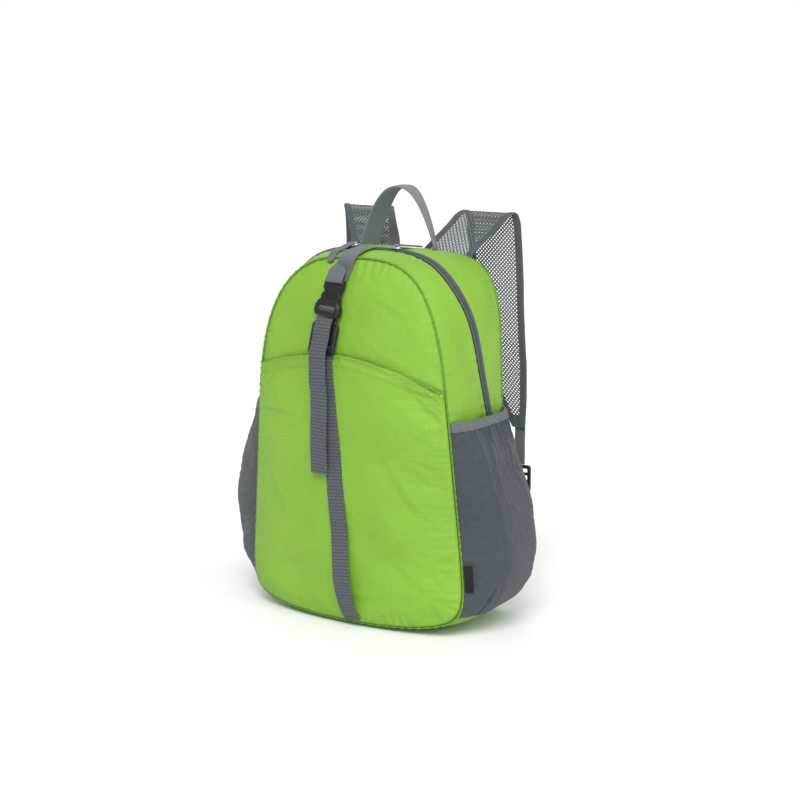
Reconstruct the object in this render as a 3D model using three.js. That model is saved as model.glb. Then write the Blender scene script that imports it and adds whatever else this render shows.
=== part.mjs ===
// A light packable backpack of ripstop cloth, free-standing, in millimetres, +Z up, front towards -Y.
// Every panel is a thin closed wall of its own, so the bag is hollow and its seams are real gaps.
import * as THREE from "three";
import { mergeVertices } from "three/addons/utils/BufferGeometryUtils.js";

// Driving dimensions of the bag's shell
const bagHeight = 400;
const bagWidth = 244;
const backWidth = 232;
const baseSpread = 41;
const baseLift = 5;
const widestHeight = 232;
const frontArchPower = 3.1;
const backArchPower = 5;
const basePower = 14;
const cornerLift = 17;
const bagDepth = 122;
const frontBulge = 18;
const backBulge = 5;
const baseBow = 18;
const gussetPuff = 7;
const cloth = 1.6;
const seamGap = 0.3;
const panelGap = 1;
const archSteps = 32;

// Driving dimensions of the pockets
const slipMouthDrop = 103;
const slipMouthHeight = bagHeight - slipMouthDrop;
const slipDropRight = 32;
const slipDropLeft = 20;
const slipSlack = 1.6;
const slipGap = 1.7;
const slipInset = 0.988;
const frontFullPower = 2.4;
const mouthCurve = 1.8;
const pocketFoot = 25;
const pocketTop = 233;
const hemHeight = 10;
const hemThickness = 3;
const pocketBulgeRight = 35;
const pocketBulgeLeft = 42;
const pocketBoxPower = 4.4;
const pocketGap = 1;
const gatherDepth = 2.2;
const gatherCount = 6;
const gatherStart = 0.45;
const gatherEnd = 0.95;
const labelWidth = 9;
const labelHeight = 28;
const labelFoot = 54;
const labelThickness = 0.8;

// Driving dimensions of the zip
const zipEndHeight = 196;
const tapeWidth = 9;
const coilRise = 1.3;
const sliderLength = 11;
const sliderWidth = 8;
const sliderHeight = 4;
const sliderSpread = 26;
const pullLength = 27;
const pullWidth = 9;
const pullThickness = 1.6;
const pullDrift = 5;
const pullTipShare = 0.55;
const sliderNose = 0.6;
const sliderShoulder = 0.4;
const sliderTail = 0.8;

// Driving dimensions of the front strap and its buckles
const webWidth = 21;
const webThickness = 1.4;
const webGap = 0.5;
const buckleDrop = 25;
const buckleTopHeight = bagHeight - buckleDrop;
const buckleLength = 41;
const buckleWidth = 32;
const buckleThickness = 8;
const tongueShare = 0.56;
const neckShare = 0.6;
const barCut = 5;
const slotEase = 1;
const socketSlot = 7;
const tongueBarWidth = 25;
const tongueBarLength = 11;
const adjusterLength = 37;
const adjusterWidth = 33;
const adjusterThickness = 4;
const buckleStandOff = 3;
const layerLength = 14;
const overShares = [1, 0.66, 0.34];
const overDrift = -0.22;
const overTurn = -0.06;
const layerEase = [0.7, 1.85, 2.3];
const layerBend = 0.86;
const tipShare = 0.6;
const adjusterStandOff = 5.6;
const adjusterRound = 6;
const roundTop = 0.8;
const roundSide = 0.25;
const roundDrop = 0.35;
const tailDrop = 231;
const tailEndHeight = bagHeight - tailDrop;
const strapFootHeight = 9;

// Driving dimensions of the handle and shoulder straps
const handleWidth = 25;
const handleThickness = 2;
const handleGap = 1;
const handleSpan = 88;
const handleRise = 68;
const handleToe = 27;
const handleBack = 12;
const handleArchPower = 2.3;
const netWidth = 68;
const netThickness = 1.7;
const netGap = 1.2;
const netColumnCount = 2;
const netRowCount = 20;
const netBar = 1.7;
const bindingWidth = 8;
const bindingThickness = 2.6;
const strapRise = 40;
const strapRidgeHeight = bagHeight + strapRise;
const strapReach = 60;
const netEnd = 0.92;
const tabWidth = 13;
const tabLength = 42;
const tabThickness = 1.6;
const lockWidth = 30;
const lockLength = 30;
const lockThickness = 5;
const adjusterWeb = 25;
const cornerHeight = 42;
const cornerReach = 0.86;
const pointHalf = 1.2;

// Where the seams run in depth, as shares of the bag's depth either side of the middle, row by row up the bag
const seamRows = [
  { height: 0, front: 0.52, back: 0.53 },
  { height: 0.25, front: 0.54, back: 0.47 },
  { height: 0.5, front: 0.575, back: 0.4 },
  { height: 0.7, front: 0.6, back: 0.36 },
  { height: 0.88, front: 0.57, back: 0.34 },
  { height: 1, front: 0.5, back: 0.32 },
];

// The zip's way across the gusset, as a share of the gusset's depth behind the front seam
const zipRows = [
  { height: 0.45, share: 0.78 },
  { height: 0.57, share: 0.66 },
  { height: 0.7, share: 0.55 },
  { height: 0.82, share: 0.47 },
  { height: 0.92, share: 0.36 },
  { height: 1, share: 0.35 },
];

// How far a side pocket stands out, as a share of its bulge, row by row from its foot to its hem
const pocketRows = [
  { rise: 0, bulge: 0.04 },
  { rise: 0.14, bulge: 0.66 },
  { rise: 0.36, bulge: 1 },
  { rise: 0.62, bulge: 0.86 },
  { rise: 0.84, bulge: 0.48 },
  { rise: 1, bulge: 0.21 },
];

// Broad folds of the front cloth: place as shares of half width and height, direction from level in degrees,
// length and width as shares of the bag's width, depth as a share of the front's bulge
const frontFolds = [
  { across: -0.55, height: 0.66, turn: -18, length: 0.3, width: 0.075, depth: 0.13 },
  { across: 0.5, height: 0.5, turn: 24, length: 0.34, width: 0.085, depth: 0.15 },
  { across: -0.5, height: 0.36, turn: 38, length: 0.36, width: 0.09, depth: 0.16 },
  { across: 0.55, height: 0.2, turn: -30, length: 0.34, width: 0.09, depth: 0.16 },
  { across: -0.62, height: 0.13, turn: -42, length: 0.26, width: 0.08, depth: 0.14 },
  { across: 0.1, height: 0.83, turn: 8, length: 0.3, width: 0.07, depth: 0.1 },
];

// The line of a shoulder strap from the back seam over its fold and down to its point:
// out is a share of half the bag's width, back of the strap's reach behind the bag, height of the fold's height,
// width of the net's width
const strapRows = [
  { out: 0.37, back: 0.01, height: 0.882, width: 0.95 },
  { out: 0.385, back: 0.05, height: 0.9, width: 0.96 },
  { out: 0.44, back: 0.19, height: 0.925, width: 0.97 },
  { out: 0.55, back: 0.4, height: 0.967, width: 0.98 },
  { out: 0.61, back: 0.52, height: 0.992, width: 0.99 },
  { out: 0.65, back: 0.63, height: 0.999, width: 1 },
  { out: 0.665, back: 0.72, height: 0.98, width: 1 },
  { out: 0.67, back: 0.77, height: 0.935, width: 1 },
  { out: 0.68, back: 0.82, height: 0.84, width: 1 },
  { out: 0.69, back: 0.88, height: 0.72, width: 0.97 },
  { out: 0.735, back: 0.94, height: 0.62, width: 0.84 },
  { out: 0.81, back: 0.98, height: 0.53, width: 0.55 },
  { out: 0.88, back: 1, height: 0.455, width: 0.24 },
];

// Where the front strap lies across the front, as shares of the web's width from the bag's middle
const frontStrapRows = [
  { height: 0.03, lower: 0.5, tail: -1.0 },
  { height: 0.42, lower: -0.22, tail: -1.0 },
  { height: 0.6, lower: -0.5, tail: -0.86 },
  { height: 0.84, lower: -0.88, tail: -0.88 },
  { height: 1, lower: -0.4, tail: -0.4 },
];

// How far the lower web and the tail stand off the cloth, as shares of the web's width
const standOffRows = [
  { height: 0.02, lower: 0.04, tail: 0.3 },
  { height: 0.1, lower: 0.5, tail: 0.3 },
  { height: 0.25, lower: 0.2, tail: 0.3 },
  { height: 0.42, lower: 0.08, tail: 0.36 },
  { height: 0.6, lower: 0.08, tail: 0.42 },
  { height: 0.7, lower: 0.1, tail: 0.52 },
  { height: 0.84, lower: 0.03, tail: 0.58 },
];

const green = { color: 0x96c83f, roughness: 0.62, metalness: 0 };
const darkGreen = { color: 0x6fa32c, roughness: 0.7, metalness: 0 };
const stretchGrey = { color: 0x5b6168, roughness: 0.85, metalness: 0 };
const webGrey = { color: 0x535b61, roughness: 0.8, metalness: 0 };
const bindingGrey = { color: 0x4f555b, roughness: 0.75, metalness: 0 };
const netGrey = { color: 0x787d82, roughness: 0.8, metalness: 0 };
const black = { color: 0x1a1b1d, roughness: 0.4, metalness: 0 };
const steel = { color: 0xc9ccd0, roughness: 0.22, metalness: 1 };

const bag = new THREE.Group();

function add(name, geometry, finish) {
  const piece = new THREE.Mesh(geometry, new THREE.MeshStandardMaterial(finish));
  piece.name = name;
  bag.add(piece);
  return piece;
}

// One column of a table as a smooth function of another
function smooth(rows, key, column) {
  const places = Float64Array.from(rows, (row) => row[key]);
  const values = Float64Array.from(rows, (row) => row[column]);
  const track = new THREE.CubicInterpolant(places, values, 1);
  return (at) => track.evaluate(THREE.MathUtils.clamp(at, places[0], places.at(-1)))[0];
}

// Turns an open skin of points and outward faces into a closed wall that lies one thickness inwards
function thicken(points, faces, thickness) {
  const skin = new THREE.BufferGeometry().setFromPoints(points);
  skin.setIndex(faces.flat());
  skin.computeVertexNormals();
  const normals = skin.getAttribute("normal");
  const count = points.length;
  const inside = points.map((point, i) => {
    const normal = new THREE.Vector3().fromBufferAttribute(normals, i);
    return point.clone().addScaledVector(normal, -thickness);
  });
  const edges = new Set();
  for (const [a, b, c] of faces) {
    edges.add(a + ">" + b).add(b + ">" + c).add(c + ">" + a);
  }
  const walls = [];
  for (const [a, b, c] of faces) {
    walls.push([a, b, c], [a + count, c + count, b + count]);
    for (const [from, to] of [[a, b], [b, c], [c, a]]) {
      if (edges.has(to + ">" + from)) continue;
      walls.push([to, from, from + count], [to, from + count, to + count]);
    }
  }
  const wall = new THREE.BufferGeometry().setFromPoints([...points, ...inside]);
  wall.setIndex(walls.flat());
  wall.computeVertexNormals();
  return wall;
}

// A cloth wall over a patch: surface(u, v) with the u direction crossed with the v direction facing outwards
function patchWall(surface, acrossSteps, alongSteps, thickness) {
  const points = [];
  const faces = [];
  for (let j = 0; j <= alongSteps; j++) {
    for (let i = 0; i <= acrossSteps; i++) points.push(surface(i / acrossSteps, j / alongSteps));
  }
  const row = acrossSteps + 1;
  for (let j = 0; j < alongSteps; j++) {
    for (let i = 0; i < acrossSteps; i++) {
      const a = j * row + i;
      faces.push([a, a + 1, a + 1 + row], [a, a + 1 + row, a + row]);
    }
  }
  return thicken(points, faces, thickness);
}

// A cloth wall over a closed edge line, in rings that shrink to the middle; face gives the point over a plan place
function panelWall(edge, middle, rings, face, thickness, facesBack) {
  const points = [face(middle.x, middle.y)];
  const faces = [];
  const around = edge.length;
  for (let ring = 1; ring <= rings; ring++) {
    for (const place of edge) {
      const at = middle.clone().lerp(place, ring / rings);
      points.push(face(at.x, at.y));
    }
  }
  for (let k = 0; k < around; k++) {
    const next = (k + 1) % around;
    faces.push([0, 1 + k, 1 + next]);
    for (let ring = 1; ring < rings; ring++) {
      const near = 1 + (ring - 1) * around;
      const far = near + around;
      faces.push([near + k, far + k, far + next], [near + k, far + next, near + next]);
    }
  }
  const turned = facesBack ? faces.map(([a, b, c]) => [a, c, b]) : faces;
  return thicken(points, turned, thickness);
}

const archHeight = bagHeight - gussetPuff / 2 - widestHeight;

// The seam line of one face of the bag, starting at the middle of the base and running round by its right side
class SeamOutline extends THREE.Curve {
  constructor(width, archPower, archTaper) {
    super();
    this.width = width;
    this.archPower = archPower;
    this.archTaper = archTaper;
    this.arcLengthDivisions = 1200;
  }

  // Half the face's width at a height, before the corners round it off
  halfWidth(z) {
    const below = (widestHeight - z) / widestHeight;
    const spread = below > 0 ? baseSpread : this.archTaper;
    return this.width / 2 + (spread / 2) * below;
  }

  // The base line's height, which rises towards the bag's corners
  baseLine(widthShare) {
    return baseLift + cornerLift * Math.min(1, widthShare) ** 3;
  }

  getPoint(t, target = new THREE.Vector3()) {
    const angle = 2 * Math.PI * t - Math.PI / 2;
    const power = Math.sin(angle) > 0 ? this.archPower : basePower;
    const reach = (Math.abs(Math.cos(angle)) ** power + Math.abs(Math.sin(angle)) ** power) ** (-1 / power);
    const across = reach * Math.cos(angle);
    const rise = reach * Math.sin(angle);
    const height = rise > 0 ? archHeight : widestHeight - this.baseLine(Math.abs(across));
    const z = widestHeight + height * rise;
    return target.set(across * this.halfWidth(z), 0, z);
  }

  // How near a place inside is to the seam line: 0 in the middle, 1 on the seam
  edgeShare(x, z) {
    const upper = z > widestHeight;
    const power = upper ? this.archPower : basePower;
    const widthShare = Math.abs(x) / this.halfWidth(z);
    const height = upper ? archHeight : widestHeight - this.baseLine(widthShare);
    const share = (widthShare ** power + (Math.abs(z - widestHeight) / height) ** power) ** (1 / power);
    return Math.min(1, share);
  }

  // The line's places in plan, evenly spaced
  places(count) {
    return Array.from({ length: count }, (_, k) => {
      const point = this.getPointAt(k / count);
      return new THREE.Vector2(point.x, point.z);
    });
  }
}
const frontLine = new SeamOutline(bagWidth, frontArchPower, baseSpread);
const backLine = new SeamOutline(backWidth, backArchPower, 0);

// The share of the seam line's length at which it reaches a height on the right side
function seamShare(height, line = frontLine) {
  let low = 0;
  let high = 0.5;
  for (let step = 0; step < 40; step++) {
    const middle = (low + high) / 2;
    if (line.getPointAt(middle).z < height) low = middle;
    else high = middle;
  }
  return low;
}

const frontSeam = smooth(seamRows, "height", "front");
const backSeam = smooth(seamRows, "height", "back");

function frontSeamY(x, z) {
  const bow = baseBow * (1 - z / bagHeight) ** 2 * Math.max(0, 1 - (x / frontLine.halfWidth(z)) ** 2);
  return -bagDepth * frontSeam(z / bagHeight) - bow;
}

function backSeamY(z) {
  return bagDepth * backSeam(z / bagHeight);
}

// A soft long dent or ridge, full along its own line and faded at its ends
function foldHeight(folds, x, z) {
  let sum = 0;
  for (const fold of folds) {
    const dx = x - (fold.across * bagWidth) / 2;
    const dz = z - fold.height * bagHeight;
    const turn = THREE.MathUtils.degToRad(fold.turn);
    const along = (dx * Math.cos(turn) + dz * Math.sin(turn)) / (fold.length * bagWidth);
    const aside = (dz * Math.cos(turn) - dx * Math.sin(turn)) / (fold.width * bagWidth);
    sum += fold.depth * Math.exp(-aside * aside - along * along);
  }
  return sum;
}

function frontY(x, z) {
  const fullness = 1 - frontLine.edgeShare(x, z) ** frontFullPower;
  const folds = frontBulge * foldHeight(frontFolds, x, z) * fullness;
  return frontSeamY(x, z) - frontBulge * fullness + folds;
}

function backY(x, z) {
  return backSeamY(z) + backBulge * (1 - backLine.edgeShare(x, z) ** 2);
}

// The face of the slip pocket, in front of the front panel by its gap and slack
function slipY(x, z) {
  const slack = slipSlack * (1 - frontLine.edgeShare(x, z) ** 2);
  return frontY(x, z) - cloth - slipGap - slack;
}

// The line between the two seams at a share of the depth, with the way that faces out of the bag
function ringAt(depth, share) {
  const t = frontLine.getUtoTmapping(share);
  const point = frontLine.getPoint(t).lerp(backLine.getPoint(t), depth);
  const ahead = frontLine.getTangent(t).lerp(backLine.getTangent(t), depth).normalize();
  return { point, outward: new THREE.Vector3(ahead.z, 0, -ahead.x) };
}

function seamDepths(share) {
  const front = ringAt(0, share).point;
  const back = ringAt(1, share).point;
  return { front: frontSeamY(front.x, front.z), back: backSeamY(back.z), height: front.z };
}

// The bag's skin between the front seam and the back seam; the base is pressed flat on the ground
function skin(depth, share, lift = 0) {
  const { point, outward } = ringAt(depth, share);
  const { front, back } = seamDepths(share);
  const puff = gussetPuff * (1 - Math.abs(2 * depth - 1) ** 3);
  point.addScaledVector(outward, puff + lift);
  return point.set(point.x, THREE.MathUtils.lerp(front, back, depth), Math.max(0, point.z));
}

function gussetDepth(share) {
  const { front, back } = seamDepths(share);
  return back - front;
}

// Shares of the gusset's depth kept clear for the wall of the panel that it meets
function seamShareOfDepth(share) {
  return (cloth + seamGap) / gussetDepth(share);
}

const panelMiddle = new THREE.Vector2(0, widestHeight * 0.9);

function frontPanel() {
  const face = (x, z) => new THREE.Vector3(x, frontY(x, z), z);
  add("front_panel", panelWall(frontLine.places(44), panelMiddle, 5, face, cloth, false), green);
}

function backPanel() {
  const face = (x, z) => new THREE.Vector3(x, backY(x, z), z);
  add("back_panel", panelWall(backLine.places(40), panelMiddle, 3, face, cloth, true), green);
}

// The mouth line of the slip pocket: highest in the middle, lower at both seams
function mouthHeight(x) {
  const drop = x > 0 ? slipDropRight : slipDropLeft;
  return slipMouthHeight - drop * Math.min(1, Math.abs(x) / frontLine.halfWidth(slipMouthHeight)) ** mouthCurve;
}

function slipPocket() {
  const sideSteps = 32;
  const mouthSteps = 14;
  const right = seamShare(mouthHeight(bagWidth));
  const left = seamShare(mouthHeight(-bagWidth));
  const edge = [];
  for (let k = 0; k <= sideSteps; k++) {
    const share = THREE.MathUtils.lerp(-left, right, k / sideSteps);
    const point = frontLine.getPointAt((share + 1) % 1);
    edge.push(new THREE.Vector2(point.x * slipInset, point.z + (1 - slipInset) * (widestHeight - point.z)));
  }
  const from = edge.at(-1).x;
  const to = edge[0].x;
  for (let k = 1; k < mouthSteps; k++) {
    const x = THREE.MathUtils.lerp(from, to, k / mouthSteps);
    edge.push(new THREE.Vector2(x, mouthHeight(x)));
  }
  const face = (x, z) => new THREE.Vector3(x, slipY(x, z), z);
  const middle = new THREE.Vector2(0, slipMouthHeight / 2);
  add("front_pocket", panelWall(edge, middle, 6, face, cloth, false), green);
}

const zipShare = smooth(zipRows, "height", "share");
const zipEnd = seamShare(zipEndHeight);
const pocketFootShare = seamShare(pocketFoot);

// One strip of skin between two shares of the seam line; from and to give its edges in depth
function skinStrip(name, start, end, from, to, acrossSteps, alongSteps, finish) {
  const surface = (u, v) => {
    const share = THREE.MathUtils.lerp(start, end, v);
    const wrapped = (share + 1) % 1;
    return skin(THREE.MathUtils.lerp(from(wrapped), to(wrapped), u), wrapped);
  };
  add(name, patchWall(surface, acrossSteps, alongSteps, cloth), finish);
}

const zipDepth = (share) => zipShare(seamDepths(share).height / bagHeight);
const zipReach = (share, extra) => (tapeWidth / 2 + extra) / gussetDepth(share);
const backEdge = (share) => 1 - seamShareOfDepth(share);

function gusset() {
  const lower = pocketFootShare + panelGap / frontLine.getLength();
  const upper = zipEnd - panelGap / frontLine.getLength();
  skinStrip("base_panel", -pocketFootShare, pocketFootShare, seamShareOfDepth, backEdge, 8, 20, green);
  skinStrip("side_panel_right", lower, upper, seamShareOfDepth, backEdge, 7, 7, darkGreen);
  skinStrip("side_panel_left", 1 - upper, 1 - lower, seamShareOfDepth, backEdge, 7, 7, darkGreen);
  const beforeZip = (share) => zipDepth(share) - zipReach(share, seamGap);
  const behindZip = (share) => zipDepth(share) + zipReach(share, seamGap);
  skinStrip("gusset_front", zipEnd, 1 - zipEnd, seamShareOfDepth, beforeZip, 4, archSteps, green);
  skinStrip("gusset_rear", zipEnd, 1 - zipEnd, behindZip, backEdge, 4, archSteps, green);
}

function zipper() {
  const surface = (u, v) => {
    const share = THREE.MathUtils.lerp(zipEnd, 1 - zipEnd, v);
    const rise = Math.abs(u - 0.5) < 0.2 ? coilRise : 0;
    return skin(zipDepth(share) + zipReach(share, 0) * (2 * u - 1), share, rise);
  };
  add("zipper", patchWall(surface, 5, archSteps, cloth), webGrey);
}

const pocketFullness = smooth(pocketRows, "rise", "bulge");

// The outside of a side pocket: u from the front seam to the back seam, rise from its foot to the top of its hem
function pocketSkin(u, rise, side) {
  const share = seamShare(THREE.MathUtils.lerp(pocketFoot + seamGap, pocketTop, rise));
  const gather = THREE.MathUtils.smoothstep(rise, gatherStart, gatherEnd);
  const rib = gatherDepth * gather * Math.cos(2 * Math.PI * gatherCount * u) * Math.sin(Math.PI * u);
  const box = 1 - Math.abs(2 * u - 1) ** pocketBoxPower;
  const bulge = side > 0 ? pocketBulgeRight : pocketBulgeLeft;
  const point = skin(u, share, cloth + pocketGap + bulge * box * pocketFullness(rise) + rib);
  point.x *= side;
  return point;
}

function sidePocket(side, word) {
  const hemShare = hemHeight / (pocketTop - pocketFoot);
  const gapShare = seamGap / (pocketTop - pocketFoot);
  const wall = (u, v) => pocketSkin(side > 0 ? u : 1 - u, v * (1 - hemShare - 2 * gapShare), side);
  add("side_pocket_" + word, patchWall(wall, 18, 8, cloth), stretchGrey);
  const hem = (u, v) => {
    const point = pocketSkin(side > 0 ? u : 1 - u, 1 - hemShare + v * hemShare, side);
    return point.add(new THREE.Vector3((side * (hemThickness - cloth)) / 2, 0, 0));
  };
  add("pocket_hem_" + word, patchWall(hem, 18, 1, hemThickness), webGrey);
}

function labelTab() {
  const surface = (u, v) => {
    const rise = (labelFoot + v * labelHeight - pocketFoot) / (pocketTop - pocketFoot);
    const seam = pocketSkin(0, rise, 1);
    const along = pocketSkin(0.05, rise, 1).sub(seam).normalize();
    const lift = new THREE.Vector3(along.y, -along.x, 0).setLength(-labelThickness - 2 * seamGap);
    return seam.addScaledVector(along, u * labelWidth).sub(lift);
  };
  add("label_tab", patchWall(surface, 2, 3, labelThickness), black);
}

// A flat band between two edge lines of points; its outside faces the left line crossed with the way it runs
function bandBetween(name, left, right, thickness, finish) {
  const faces = [];
  const points = left.flatMap((point, k) => [point, right[k]]);
  for (let k = 1; k < left.length; k++) {
    faces.push([2 * k - 2, 2 * k - 1, 2 * k + 1], [2 * k - 2, 2 * k + 1, 2 * k]);
  }
  return add(name, thicken(points, faces, thickness), finish);
}

// The way across a band at one station: level, square to the way that the band runs there
function acrossAt(centres, k, way) {
  const ahead = centres[Math.min(k + 1, centres.length - 1)].clone().sub(centres[Math.max(k - 1, 0)]).normalize();
  return way.clone().addScaledVector(ahead, -ahead.dot(way));
}

// A band of one width along a line of centres; across points from its left edge to its right edge
function band(name, centres, across, width, thickness, finish) {
  const half = (k) => across(k).clone().setLength(width(k) / 2);
  const left = centres.map((centre, k) => centre.clone().sub(half(k)));
  const right = centres.map((centre, k) => centre.clone().add(half(k)));
  return bandBetween(name, left, right, thickness, finish);
}

const level = new THREE.Vector3(1, 0, 0);
const lowerStrapX = smooth(frontStrapRows, "height", "lower");
const tailX = smooth(frontStrapRows, "height", "tail");
const lowerOff = smooth(standOffRows, "height", "lower");
const tailOff = smooth(standOffRows, "height", "tail");

// The outermost cloth of the front: the slip pocket below its mouth, the front panel above it
function coverY(x, z) {
  const above = THREE.MathUtils.smoothstep(z, slipMouthHeight, slipMouthHeight + webWidth);
  return THREE.MathUtils.lerp(slipY(x, z), frontY(x, z), above);
}

// A place on the front strap's line, standing off the cloth by a distance
function onFront(z, across, standOff) {
  const x = webWidth * across(z / bagHeight);
  return new THREE.Vector3(x, coverY(x, z) - standOff, z);
}

// A frame laid on the front strap's line: x across, y up the line, z away from the cloth
function frontFrame(z, standOff, reach) {
  const up = onFront(z + reach, tailX, standOff).sub(onFront(z - reach, tailX, standOff)).normalize();
  const outward = new THREE.Vector3().crossVectors(level, up).normalize();
  const across = new THREE.Vector3().crossVectors(up, outward);
  return new THREE.Matrix4().makeBasis(across, up, outward).setPosition(onFront(z, tailX, standOff));
}

const buckleMiddle = buckleTopHeight - buckleLength / 2;
const adjusterMiddle = buckleMiddle - (buckleLength + adjusterLength) / 2 - seamGap * 2;
const buckleFrame = frontFrame(buckleMiddle, buckleStandOff, buckleLength / 2);
const adjusterFrame = frontFrame(adjusterMiddle, adjusterStandOff, adjusterLength / 2);
const buckleAcross = new THREE.Vector3().setFromMatrixColumn(buckleFrame, 0);
const inBuckle = (up, out) => new THREE.Vector3(0, up, out).applyMatrix4(buckleFrame);
const tongueThickness = buckleThickness * tongueShare;

// An outline from half widths read down one side of a symmetrical plate
function plateShape(rows) {
  const shape = new THREE.Shape();
  rows.forEach(({ half, up }, k) => (k ? shape.lineTo(-half, up) : shape.moveTo(-half, up)));
  [...rows].reverse().forEach(({ half, up }) => shape.lineTo(half, up));
  shape.closePath();
  return shape;
}

function slot(shape, width, low, high) {
  const hole = new THREE.Path();
  hole.moveTo(-width / 2, low);
  hole.lineTo(-width / 2, high);
  hole.lineTo(width / 2, high);
  hole.lineTo(width / 2, low);
  hole.closePath();
  shape.holes.push(hole);
}

// A moulded plate with eased edges, its back on the plane z = 0
function moulded(shape, thickness) {
  const ease = Math.min(0.7, thickness / 5);
  const form = { depth: thickness - 2 * ease, bevelThickness: ease, bevelSize: ease, bevelOffset: -ease };
  const plate = new THREE.ExtrudeGeometry(shape, { ...form, bevelSegments: 1, curveSegments: 6 });
  plate.deleteAttribute("normal");
  plate.deleteAttribute("uv");
  const merged = mergeVertices(plate.translate(0, 0, ease), 1e-3);
  merged.computeVertexNormals();
  return merged;
}

// The side-release buckle: a tongue with a web bar above, its socket with a web bar below
function buckle() {
  const top = buckleLength / 2;
  const split = top - buckleLength * tongueShare;
  const barHalf = tongueBarWidth / 2;
  const neckHalf = (buckleWidth / 2) * neckShare;
  const corner = 1.5;
  const taper = 4;
  const tongue = plateShape([
    { half: barHalf - corner, up: top },
    { half: barHalf, up: top - corner },
    { half: barHalf, up: top - tongueBarLength },
    { half: neckHalf, up: top - tongueBarLength - taper },
    { half: neckHalf, up: split + seamGap },
  ]);
  slot(tongue, webWidth + slotEase, top - tongueBarLength + corner, top - barCut);
  const tonguePlate = moulded(tongue, tongueThickness).translate(0, 0, webThickness);
  add("buckle_tongue", tonguePlate.applyMatrix4(buckleFrame), black);
  const half = buckleWidth / 2;
  const shoulder = 5;
  const socket = plateShape([
    { half: neckHalf + corner, up: split },
    { half: half - corner, up: split - shoulder },
    { half, up: split - shoulder - 2 * corner },
    { half, up: 2 * corner - top },
    { half: half - 2 * corner, up: -top },
  ]);
  slot(socket, webWidth + slotEase, barCut - top, barCut + socketSlot - top);
  add("buckle_socket", moulded(socket, buckleThickness).applyMatrix4(buckleFrame), black);
}

// The second hard piece of the strap, half behind the tail: the lower web runs behind it
function strapAdjuster() {
  const top = adjusterLength / 2;
  const half = adjusterWidth / 2;
  const shape = plateShape([
    { half: half - adjusterRound * roundTop, up: top },
    { half: half - adjusterRound * roundSide, up: top - adjusterRound * roundDrop },
    { half, up: top - adjusterRound },
    { half, up: 1 - top },
    { half: half - 1, up: -top },
  ]);
  slot(shape, webWidth + slotEase, barCut - top, barCut + socketSlot - top);
  add("strap_adjuster", moulded(shape, adjusterThickness).applyMatrix4(adjusterFrame), black);
}

// The web of the buckle's socket: up from the base seam, forward through the window and down over the bar
function lowerStrap() {
  const top = buckleLength / 2;
  const count = 16;
  const behind = Array.from({ length: count }, (_, k) => {
    const z = THREE.MathUtils.lerp(strapFootHeight, buckleMiddle - top - buckleStandOff, k / (count - 1));
    return onFront(z, lowerStrapX, webGap + webWidth * lowerOff(z / bagHeight));
  });
  const back = -webGap - webThickness;
  const front = buckleThickness + webGap + webThickness;
  const window = barCut + socketSlot / 2 - top;
  const turn = [
    inBuckle(1 - top, back),
    inBuckle(barCut - top, back),
    inBuckle(window - 1, back * 0.3),
    inBuckle(window, buckleThickness / 2),
    inBuckle(window - 1, front - webThickness),
    inBuckle(barCut - top, front),
    inBuckle(1 - top, front),
  ];
  const tailSteps = 11;
  const tail = Array.from({ length: tailSteps + 1 }, (_, k) => {
    const z = THREE.MathUtils.lerp(buckleMiddle - top - 2 * buckleStandOff, tailEndHeight, k / tailSteps);
    return onFront(z, tailX, webGap + webThickness + webWidth * tailOff(z / bagHeight));
  });
  const line = [...behind, ...turn, ...tail];
  const way = level.clone().negate();
  const inTurn = (k) => k >= count && k < count + turn.length;
  const across = (k) => (inTurn(k) ? buckleAcross.clone().negate() : acrossAt(line, k, way));
  band("lower_strap", line, across, () => webWidth, webThickness, webGrey);
}

// The web of the buckle's tongue: from the zip over the top of the bag, round the bar and back up on itself
function upperStrap() {
  const top = buckleLength / 2;
  const start = zipDepth(0.5) - zipReach(0.5, webGap);
  const lift = webThickness + webGap;
  const over = overShares.map((share, k) => {
    const point = skin(start * share, 0.5, lift);
    point.x = webWidth * (overDrift + overTurn * k);
    return point;
  });
  const rim = onFront(frontLine.getPointAt(0.5).z - 1, tailX, lift + 1);
  const face = onFront(buckleTopHeight + tongueBarLength * 0.7, tailX, 1.4 * webGap);
  const back = -webGap;
  const front = 2 * webThickness + tongueThickness + webGap;
  const window = top - barCut - 2 * webThickness * layerBend;
  const layer = (share, ease) => inBuckle(top + layerLength * share, front - webThickness * ease);
  const turn = [
    inBuckle(top - 1, back),
    inBuckle(window + webThickness, back + 0.4),
    inBuckle(window, front / 2),
    inBuckle(window + webThickness, front - 0.4),
    inBuckle(top - 2, front),
    layer(0.5, layerEase[0]),
    layer(layerBend, layerEase[1]),
    layer(1, layerEase[2]),
  ];
  const line = [...over, rim, face, ...turn];
  const bent = over.length + 2;
  const across = (k) => (k >= bent ? buckleAcross : acrossAt(line, k, level));
  const width = (k) => (k === line.length - 1 ? webWidth * tipShare : webWidth);
  band("upper_strap", line, across, width, webThickness, webGrey);
}

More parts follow.
